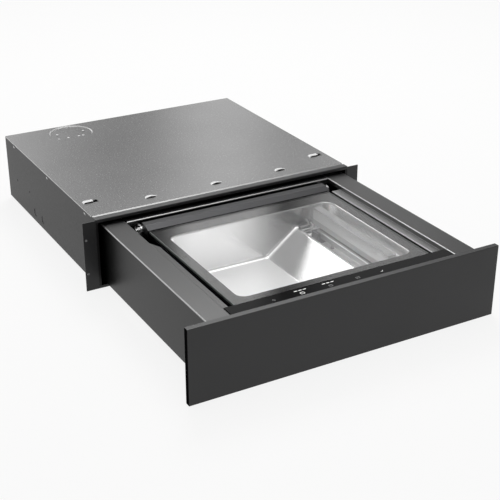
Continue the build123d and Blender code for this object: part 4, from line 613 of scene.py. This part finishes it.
class DRAWER_OT_housing(bpy.types.Operator):
    """Sheets of the housing"""

    bl_idname = "drawer.housing"
    bl_label = "Housing"

    step_rear = -215
    cover_rear = 252
    cover_half = 262
    over_cover = 135.7
    boss_tops = (133.9, 135.3)
    level = 0.985
    end_on = 0.9
    joggle_lean = (0.2, 0.997)
    tongue_y, tongue_z = (-245, 250), (110, 132.5)
    side_on = 0.992
    side_fold = 130

    def is_bare_or_highlit(self, middle, normal):
        """Whether a face of the top cover is sheared, lanced or drawn: sheared edges are bare zinc,
        and tilted lanced faces and boss tops take a painted highlight.
        """
        if not self.step_rear <= middle.y <= self.cover_rear or abs(middle.x) > self.cover_half:
            return False
        on_boss = normal.z > 0 and within(middle.z, self.boss_tops)
        return abs(normal.z) < self.level or middle.z > self.over_cover or on_boss

    def is_joggle(self, middle, normal):
        """Whether a face is on the folds of the step along the front of the top cover."""
        return middle.y < self.step_rear and within(abs(normal.z), self.joggle_lean)

    def is_cover_end(self, middle, normal):
        """Whether a face is on the sheared left or right end of the top cover."""
        return abs(normal.x) > self.end_on and abs(middle.x) > self.cover_half

    def is_tongue(self, middle, normal):
        """Whether a face of a side sheet belongs to one of its lanced tongues."""
        outside = abs(middle.x) > self.cover_half and abs(normal.x) < self.side_on
        return outside and within(middle.y, self.tongue_y) and within(middle.z, self.tongue_z)

    def is_side_fold(self, middle, normal):
        """Whether a face is on the rounded fold along the top of a side sheet."""
        return on_fold(middle, normal, self.side_fold, abs(normal.x))

    def execute(self, context):
        sizes = context.scene.drawer_sizes
        cover = dress("top_cover", "coated_sheet")
        finish_faces(cover, "bare_zinc_and_highlight", self.is_bare_or_highlit)
        finish_faces(cover, "joggle_shade", self.is_joggle)
        finish_faces(cover, "bare_zinc_and_highlight", self.is_cover_end)
        for node in ("housing_side_left", "housing_side_right"):
            side = dress(node, "housing_side_shade")
            finish_faces(side, "bare_zinc_and_highlight", self.is_tongue)
            finish_faces(side, "fold_highlight", self.is_side_fold)
        for node in ("housing_back", "housing_base"):
            dress(node, "housing_side_shade")
        dress("front_frame", "frame_powder", sizes.edge)
        dress("housing_screws", "bright_steel")
        dress("lead_gland", "dark_plastic")
        dress("rear_buffers", "rubber")
        return {"FINISHED"}


class DRAWER_OT_runners(bpy.types.Operator):
    """Telescopic runners with their brackets, and the push latch"""

    bl_idname = "drawer.runners"
    bl_label = "Runners and latch"

    def execute(self, context):
        for side in ("left", "right"):
            dress("runner_bracket_" + side, "coated_sheet")
            for member in ("outer", "middle", "inner"):
                dress(f"runner_{member}_{side}", "zinc_plate")
            dress("ball_cages_" + side, "bright_steel")
        dress("latch_body", "grey_plastic")
        dress("latch_plunger", "grey_plastic")
        dress("latch_striker", "zinc_plate")
        return {"FINISHED"}


class DRAWER_OT_drawer(bpy.types.Operator):
    """Sheets of the drawer, the wall and cover of the machine bay, and the front panel"""

    bl_idname = "drawer.drawer"
    bl_label = "Drawer"

    outer_half, outer_on = 258, 0.98
    shelf_x, shelf_z = (0, 250), (90, 122)
    shelf_up, shelf_on = 0.3, 0.9
    ledge_fold = 122
    panel_half, panel_on = 296, 0.9

    def is_outer_wall(self, middle, normal):
        """Whether a face is on the outside of a drawer side."""
        return abs(normal.x) > self.outer_on and abs(middle.x) > self.outer_half

    def is_inner_wall(self, middle, normal):
        """Whether a face is on the wall or shelf between the right ledge and the lid."""
        faces_lid = normal.z > self.shelf_up or abs(normal.x) > self.shelf_on
        return within(middle.z, self.shelf_z) and within(middle.x, self.shelf_x) and faces_lid

    def is_ledge_fold(self, middle, normal):
        """Whether a face is on the rounded fold of a ledge that turns to the left."""
        return on_fold(middle, normal, self.ledge_fold, -normal.x)

    def is_bulkhead_fold(self, middle, normal):
        """Whether a face is on the rounded fold along the top of the bulkhead."""
        return on_fold(middle, normal, self.ledge_fold, -normal.y)

    def is_panel_end(self, middle, normal):
        """Whether a face is on one of the narrow ends of the front panel."""
        return abs(normal.x) > self.panel_on and abs(middle.x) > self.panel_half

    def execute(self, context):
        sizes = context.scene.drawer_sizes
        for node in ("drawer_side_left", "drawer_side_right"):
            side = dress(node, "drawer_coat", sizes.edge)
            finish_faces(side, "drawer_wall_shade", self.is_outer_wall)
            finish_faces(side, "inner_wall_light", self.is_inner_wall)
            finish_faces(side, "fold_highlight", self.is_ledge_fold)
        dress("drawer_floor", "coated_sheet")
        dress("drawer_rear", "coated_sheet")
        dress("drawer_screws", "bright_steel")
        bulkhead = dress("bay_bulkhead", "drawer_coat")
        finish_faces(bulkhead, "fold_highlight", self.is_bulkhead_fold)
        dress("bay_cover", "drawer_coat")
        dress("front_carrier", "coated_sheet")
        panel = dress("front_panel", "panel_coat", sizes.panel_edge)
        finish_faces(panel, "panel_end_shade", self.is_panel_end)
        return {"FINISHED"}


def sign_ring(x, y, half_x, half_y, corner, line, z, depth):
    """A printed outline with round corners. Its line lies inside its edge."""
    at_middle = 0.05
    piece = plane_piece("sign", x - half_x, x + half_x, y - half_y, y + half_y, z)
    bpy.ops.mesh.bevel(offset=corner * MM, segments=4, affect="VERTICES")
    bpy.ops.mesh.select_all(action="SELECT")
    bpy.ops.mesh.inset(thickness=line * MM)
    bpy.ops.object.mode_set(mode="OBJECT")
    choose_faces(piece, lambda middle, normal: math.hypot(middle.x - x, middle.y - y) < at_middle)
    bpy.ops.mesh.delete(type="FACE")
    thicken(depth)
    return piece


def sign_bar(x, y, length, width, turn, z, depth):
    """A printed bar, turned about its middle by an angle in degrees."""
    corner = 0.3 * width
    piece = plane_piece("sign", x - length / 2, x + length / 2, y - width / 2, y + width / 2, z)
    bpy.ops.transform.rotate(
        value=math.radians(-turn), orient_axis="Z", center_override=(x * MM, y * MM, z * MM))
    bpy.ops.mesh.bevel(offset=corner * MM, segments=3, affect="VERTICES")
    thicken(depth)
    return piece


# Prints of the touch bar, in millimetres. Each row of three lit bars starts at one of these X.
LIGHT_ROWS = (-89.8, -37.4)
LIGHT_PITCH = 8.15
LIGHT_Y = -641.6
LIGHT_LENGTH, LIGHT_WIDTH = 5.8, 1.3

# each sign: its shape, and what that takes before z and depth
LIT_SIGNS = (
    (sign_ring, -83.0, -651.4, 3.8, 3.2, 1.5, 0.8),  # pouch with its seam
    (sign_bar, -83.0, -649.8, 4.2, 0.4, 0),
    (sign_bar, 69.9, -650.6, 2.8, 0.7, -45),  # tick
    (sign_bar, 72.4, -649.5, 4.8, 0.7, 50),
)
TOUCH_SIGNS = (
    (sign_ring, -30.0, -652.0, 3.4, 2.8, 1.2, 0.6),  # pouch with its mouth
    (sign_bar, -30.0, -650.8, 4.2, 0.5, 0),
    (sign_ring, 23.5, -650.0, 3.8, 2.6, 1.0, 0.65),  # stop
    (sign_bar, 23.5, -650.0, 2.8, 0.6, 0),
    (sign_ring, -134.5, -650.0, 2.4, 2.4, 2.2, 0.55),  # power
    (sign_bar, -134.5, -648.2, 2.2, 0.55, 90),
)


class DRAWER_OT_touch_bar(bpy.types.Operator):
    """Touch bar with its printed signs and indicator bars"""

    bl_idname = "drawer.touch_bar"
    bl_label = "Touch bar"

    def execute(self, context):
        sizes = context.scene.drawer_sizes
        dress("control_glass", "black_glass")
        dress("control_holder", "dark_plastic")
        dress("control_board", "board_mask")
        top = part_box("control_glass")[1].z / MM + sizes.sign_height / MM
        depth = 0.5 * sizes.sign_height / MM
        first = sign_bar(LIGHT_ROWS[0], LIGHT_Y, LIGHT_LENGTH, LIGHT_WIDTH, 0, top, depth)
        shifts = [row - LIGHT_ROWS[0] + LIGHT_PITCH * k for row in LIGHT_ROWS for k in range(3)]
        lights = [first] + [copied(first, shift) for shift in shifts[1:]]
        finish_piece(joined("indicator_bars", lights), "indicator", "drawer")
        for name, finish, rows in (
                ("lit_signs", "lit_print", LIT_SIGNS), ("touch_signs", "icon_print", TOUCH_SIGNS)):
            signs = [shape(*numbers, top, depth) for shape, *numbers in rows]
            finish_piece(joined(name, signs), finish, "drawer")
        return {"FINISHED"}


class DRAWER_OT_chamber(bpy.types.Operator):
    """Vacuum chamber with its gasket and what holds it"""

    bl_idname = "drawer.chamber"
    bl_label = "Chamber"

    rim_low, rim_half, rim_y = 109.9, 172.6, (-606.4, -334.4)
    round_low, round_lean = 105, (0.1, 0.97)
    floor_high, floor_up = 60, 0.95

    def is_rim(self, corner):
        """Whether a corner of the tub lies on the rim of its opening."""
        inside = abs(corner.x) < self.rim_half and within(corner.y, self.rim_y)
        return corner.z > self.rim_low and inside

    def is_round(self, middle, normal):
        """Whether a face is on the rounding of the rim."""
        return middle.z > self.round_low and within(abs(normal.z), self.round_lean)

    def is_floor(self, middle, normal):
        """Whether a face is on the deep floor or the floor of the trough."""
        return middle.z < self.floor_high and normal.z > self.floor_up

    def execute(self, context):
        sizes = context.scene.drawer_sizes
        tub = dress("chamber_tub", "chamber_steel", angle=40)
        choose_edges(tub, self.is_rim)
        bpy.ops.mesh.bevel(offset=sizes.rim_radius, segments=5, affect="EDGES")
        bpy.ops.object.mode_set(mode="OBJECT")
        smooth(tub, 40)
        finish_faces(tub, "lit_floor_steel", self.is_floor)
        finish_faces(tub, "rolled_rim", self.is_round)
        dress("tub_supports", "coated_sheet")
        dress("lid_seal", "gasket")
        dress("bag_clip", "plated_wire")
        return {"FINISHED"}


class DRAWER_OT_lid(bpy.types.Operator):
    """Glass lid with its printed border, its rail and its hinge"""

    bl_idname = "drawer.lid"
    bl_label = "Lid"

    inset, under_rail, corner = 0.6, 20.0, 3.4
    polished = 0.9

    def is_glass_edge(self, middle, normal):
        """Whether a face is on the ground edge of the glass."""
        return abs(normal.z) < self.polished

    def border_print(self, sizes):
        """The dark border printed on the underside of the glass, with its window."""
        low, high = [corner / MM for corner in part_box("lid_glass")]
        top = low.z - sizes.print_gap / MM
        plate = plane_piece(
            "lid_border_print", low.x + self.inset, high.x - self.inset,
            low.y + self.inset, high.y - self.under_rail, top)
        bpy.ops.mesh.bevel(offset=self.corner * MM, segments=4, affect="VERTICES")
        thicken(sizes.print_depth / MM)
        # the cutter reaches 1 mm over and 1 mm under the top of the print
        half = sizes.window_half / MM
        cutter = plane_piece(
            "window_cutter", -half, half, sizes.window_front / MM, sizes.window_rear / MM, top + 1)
        bpy.ops.mesh.bevel(offset=sizes.window_corner, segments=14, affect="VERTICES")
        thicken(2)
        apply_modifier(plate, "BOOLEAN", operation="DIFFERENCE", object=cutter)
        bpy.data.objects.remove(cutter)
        finish_piece(plate, "border_print", "lid")

    def execute(self, context):
        glass = dress("lid_glass", "lid_glass")
        finish_faces(glass, "glass_edge", self.is_glass_edge)
        self.border_print(context.scene.drawer_sizes)
        dress("hinge_rail", "rail_anodised")
        dress("hinge_shaft", "bright_steel")
        dress("hinge_brackets", "bright_steel")
        dress("hinge_springs", "bright_steel")
        return {"FINISHED"}


class DRAWER_OT_sealing(bpy.types.Operator):
    """Sealing bar, its guides and lifts, and the counter bar"""

    bl_idname = "drawer.sealing"
    bl_label = "Sealing bar"

    near_top = 0.1

    def execute(self, context):
        sizes = context.scene.drawer_sizes
        dress("sealing_bar", "bar_anodised")
        dress("heating_strip", "heater_tape")
        dress("lift_pins", "bright_steel")
        dress("bar_end_blocks", "grey_plastic", sizes.edge)
        dress("lift_cylinders", "cast_alloy")
        holder = dress("counter_holder", "bar_anodised", sizes.edge)
        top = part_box("counter_holder")[1].z / MM
        finish_faces(holder, "adhesive", lambda middle, normal: middle.z > top - self.near_top)
        choose_faces(holder, lambda middle, normal: middle.z > top - self.near_top)
        bpy.ops.transform.translate(value=(0, 0, -sizes.glue))
        bpy.ops.object.mode_set(mode="OBJECT")
        dress("counter_bar", "counter_silicone")
        return {"FINISHED"}


class DRAWER_OT_machines(bpy.types.Operator):
    """Pump, valves, hoses, transformer, power board and fan"""

    bl_idname = "drawer.machines"
    bl_label = "Machines"

    def execute(self, context):
        dress("pump_motor", "motor_enamel")
        dress("pump_head", "cast_alloy")
        dress("pump_mounts", "rubber")
        dress("pump_rotor", "bright_steel")
        dress("valve_block", "grey_plastic")
        dress("vacuum_hoses", "hose")
        dress("transformer", "core_varnish")
        dress("power_board", "board_mask")
        dress("fan_frame", "dark_plastic")
        dress("fan_rotor", "dark_plastic")
        return {"FINISHED"}


# upright strip lights: azimuth to the right of straight back, half width, both in degrees,
# strength, and the lowest and highest sine of their elevation
STRIP_LIGHTS = (
    (27.8, 2.6, 0.95, 0.15, 0.7),
    (37.5, 4.5, 0.6, 0.15, 0.7),
    (-12.0, 26.0, 2.0, 0.12, 0.66),
)
# their soft sides as shares of the half width, and their soft foot and head as a sine
STRIP_SIDES = (0.6, 1.4)
STRIP_FOOT, STRIP_HEAD = 0.05, 0.08
# sines of elevation where the backdrop turns to ceiling, and the ceiling to overhead
CEILING_RISE = (0.12, 0.25)
OVERHEAD_RISE = (0.68, 0.94)

# softboxes: the place, the point that they face and the side, in metres
REAR_SOFTBOX = ((0.77, 1.25, 2.37), (0, -0.2, 0.1), 1.3)
TOP_SOFTBOX = ((0.25, -0.1, 2.6), (0, -0.3, 0.1), 2.0)

FLOOR_SIDE = 30
FLOOR_GAP = 0.05 * MM
# the share of the floor that is plain white; the rest takes light and shadow
FLOOR_WHITE = 0.86


class DRAWER_OT_stage(bpy.types.Operator):
    """Camera, lamps, world and floor"""

    bl_idname = "drawer.stage"
    bl_label = "Stage"

    def aim(self, name, data, place, target):
        """Puts a camera or lamp at a place, facing a point."""
        holder = bpy.data.objects.new(name, data)
        bpy.context.scene.collection.objects.link(holder)
        holder.location = place
        way = Vector(target) - Vector(place)
        holder.rotation_euler = way.to_track_quat("-Z", "Y").to_euler()
        return holder

    def softbox(self, name, place, target, side, power):
        """A square lamp that faces a point."""
        lamp = bpy.data.lights.new(name, "AREA")
        lamp.energy = power
        lamp.shape = "SQUARE"
        lamp.size = side
        self.aim(name, lamp, place, target)

    def execute(self, context):
        scene = context.scene
        stage = scene.drawer_stage
        camera = bpy.data.cameras.new("camera")
        camera.lens = stage.camera_lens
        camera.sensor_width = 36
        camera.clip_end = 50
        scene.camera = self.aim("camera", camera, stage.camera_place, stage.camera_target)
        scene.view_settings.view_transform = "Standard"

        self.softbox("rear_softbox", *REAR_SOFTBOX, stage.rear_lamp)
        self.softbox("top_softbox", *TOP_SOFTBOX, stage.top_lamp)

        scene.world = self.studio_world(stage)

        lowest = min(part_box(node)[0].z for node in frame["nodes"])
        bpy.ops.object.select_all(action="DESELECT")
        bpy.ops.mesh.primitive_plane_add(size=FLOOR_SIDE, location=(0, 0, lowest - FLOOR_GAP))
        floor = context.active_object
        floor.name = "floor"
        floor.data.materials.append(self.floor_finish(scene.drawer_colours.floor))
        return {"FINISHED"}

    def studio_world(self, stage):
        """White backdrop under a dim ceiling, with strip lights that metal and glass mirror."""
        world = bpy.data.worlds.new("studio")
        world.use_nodes = True
        tree = world.node_tree
        place = add(tree, "ShaderNodeTexCoord").outputs["Generated"]
        way = add(tree, "ShaderNodeSeparateXYZ", {"Vector": place})
        up = way.outputs["Z"]
        turn = add(tree, "ShaderNodeMath", {0: way.outputs["X"], 1: way.outputs["Y"]},
                   operation="ARCTAN2")
        ceiling = add(tree, "ShaderNodeMapRange", {
            "Value": up, **span(*CEILING_RISE), "To Min": 1.0, "To Max": stage.dim_ceiling})
        overhead = add(tree, "ShaderNodeMapRange", {
            "Value": up, **span(*OVERHEAD_RISE), "To Max": stage.overhead})
        total = add(tree, "ShaderNodeMath", {0: ceiling, 1: overhead})
        for azimuth, half, level, low, high in STRIP_LIGHTS:
            away = add(tree, "ShaderNodeMath", {0: turn, 1: math.radians(azimuth)},
                       operation="SUBTRACT")
            away = add(tree, "ShaderNodeMath", {0: away}, operation="ABSOLUTE")
            sides = [math.radians(half * share) for share in STRIP_SIDES]
            width = add(tree, "ShaderNodeMapRange", {
                "Value": away, **span(*sides), "To Min": level, "To Max": 0.0},
                interpolation_type="SMOOTHSTEP")
            foot = add(tree, "ShaderNodeMapRange", {
                "Value": up, **span(low - STRIP_FOOT, low + STRIP_FOOT)})
            head = add(tree, "ShaderNodeMapRange", {
                "Value": up, **span(high - STRIP_HEAD, high + STRIP_HEAD),
                "To Min": 1.0, "To Max": 0.0})
            tall = add(tree, "ShaderNodeMath", {0: foot, 1: head}, operation="MULTIPLY")
            strip = add(tree, "ShaderNodeMath", {0: width, 1: tall}, operation="MULTIPLY")
            total = add(tree, "ShaderNodeMath", {0: total, 1: strip})
        path = add(tree, "ShaderNodeLightPath").outputs
        mirrored = add(tree, "ShaderNodeMath", {
            0: path["Is Glossy Ray"], 1: path["Is Transmission Ray"]}, operation="MAXIMUM")
        gain = add(tree, "ShaderNodeMapRange", {
            "Value": path["Is Transmission Ray"],
            "To Min": 1.0, "To Max": stage.chamber_light})
        total = add(tree, "ShaderNodeMath", {0: total, 1: gain}, operation="MULTIPLY")
        # inputs 2 and 3 of a mix are its A and B
        indirect = add(tree, "ShaderNodeMix", {0: mirrored, 2: stage.world_light, 3: total})
        strength = add(tree, "ShaderNodeMix", {0: path["Is Camera Ray"], 2: indirect, 3: 1.0})
        background = tree.nodes["Background"]
        background.inputs["Color"].default_value = WHITE
        tree.links.new(strength.outputs[0], background.inputs["Strength"])
        return world

    def floor_finish(self, colour):
        """Matte paper floor: mostly plain white, with a little of the object's shadow on it."""
        material, tree, place = new_finish("paper_floor", Metallic=0.0, Roughness=0.9)
        fibre = add(tree, "ShaderNodeTexNoise", {
            "Vector": place, "Scale": per_metre(30), "Detail": 3.0})
        tone = add(tree, "ShaderNodeMapRange", {
            "Value": fibre, **NOISE, "To Min": 0.985, "To Max": 1.0})
        base = add(tree, "ShaderNodeVectorMath", {0: colour[:3], 3: tone}, operation="SCALE")
        wire(tree, Base_Color=base)
        path = add(tree, "ShaderNodeLightPath").outputs
        seen = add(tree, "ShaderNodeMath", {
            0: path["Is Camera Ray"], 1: path["Is Glossy Ray"]}, operation="MAXIMUM")
        through = add(tree, "ShaderNodeMath", {
            0: seen, 1: path["Is Transmission Ray"]}, operation="MAXIMUM")
        share = add(tree, "ShaderNodeMath", {0: through, 1: FLOOR_WHITE}, operation="MULTIPLY")
        glow = add(tree, "ShaderNodeEmission", {"Color": WHITE})
        mixed = add(tree, "ShaderNodeMixShader", {
            0: share, 1: tree.nodes["Principled BSDF"], 2: glow})
        tree.links.new(mixed.outputs[0], tree.nodes["Material Output"].inputs["Surface"])
        return material


class DRAWER_PT_panel(bpy.types.Panel):
    """Lists the steps that dress the drawer"""

    bl_label = "Vacuum sealing drawer"
    bl_idname = "DRAWER_PT_panel"
    bl_space_type = "VIEW_3D"
    bl_region_type = "UI"
    bl_category = "Vacuum drawer"

    def draw(self, context):
        for step in STEPS:
            self.layout.operator(step.bl_idname)


STEPS = (
    DRAWER_OT_stage,
    DRAWER_OT_housing,
    DRAWER_OT_runners,
    DRAWER_OT_drawer,
    DRAWER_OT_touch_bar,
    DRAWER_OT_chamber,
    DRAWER_OT_lid,
    DRAWER_OT_sealing,
    DRAWER_OT_machines,
)

CLASSES = (DrawerColours, DrawerSizes, DrawerStage, *STEPS, DRAWER_PT_panel)


def register():
    """Registers the classes and their settings on the scene."""
    for cls in CLASSES:
        bpy.utils.register_class(cls)
    bpy.types.Scene.drawer_colours = bpy.props.PointerProperty(type=DrawerColours)
    bpy.types.Scene.drawer_sizes = bpy.props.PointerProperty(type=DrawerSizes)
    bpy.types.Scene.drawer_stage = bpy.props.PointerProperty(type=DrawerStage)


def unregister():
    """Removes the settings and the classes."""
    del bpy.types.Scene.drawer_stage
    del bpy.types.Scene.drawer_sizes
    del bpy.types.Scene.drawer_colours
    for cls in reversed(CLASSES):
        bpy.utils.unregister_class(cls)


def main():
    """Dresses the frame."""
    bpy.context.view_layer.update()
    register()
    finishes.update(make_finishes())
    for step in STEPS:
        group, name = step.bl_idname.split(".")
        if getattr(getattr(bpy.ops, group), name)() != {"FINISHED"}:
            raise RuntimeError(f"{step.bl_label} was not finished")


if __name__ == "__main__":
    main()
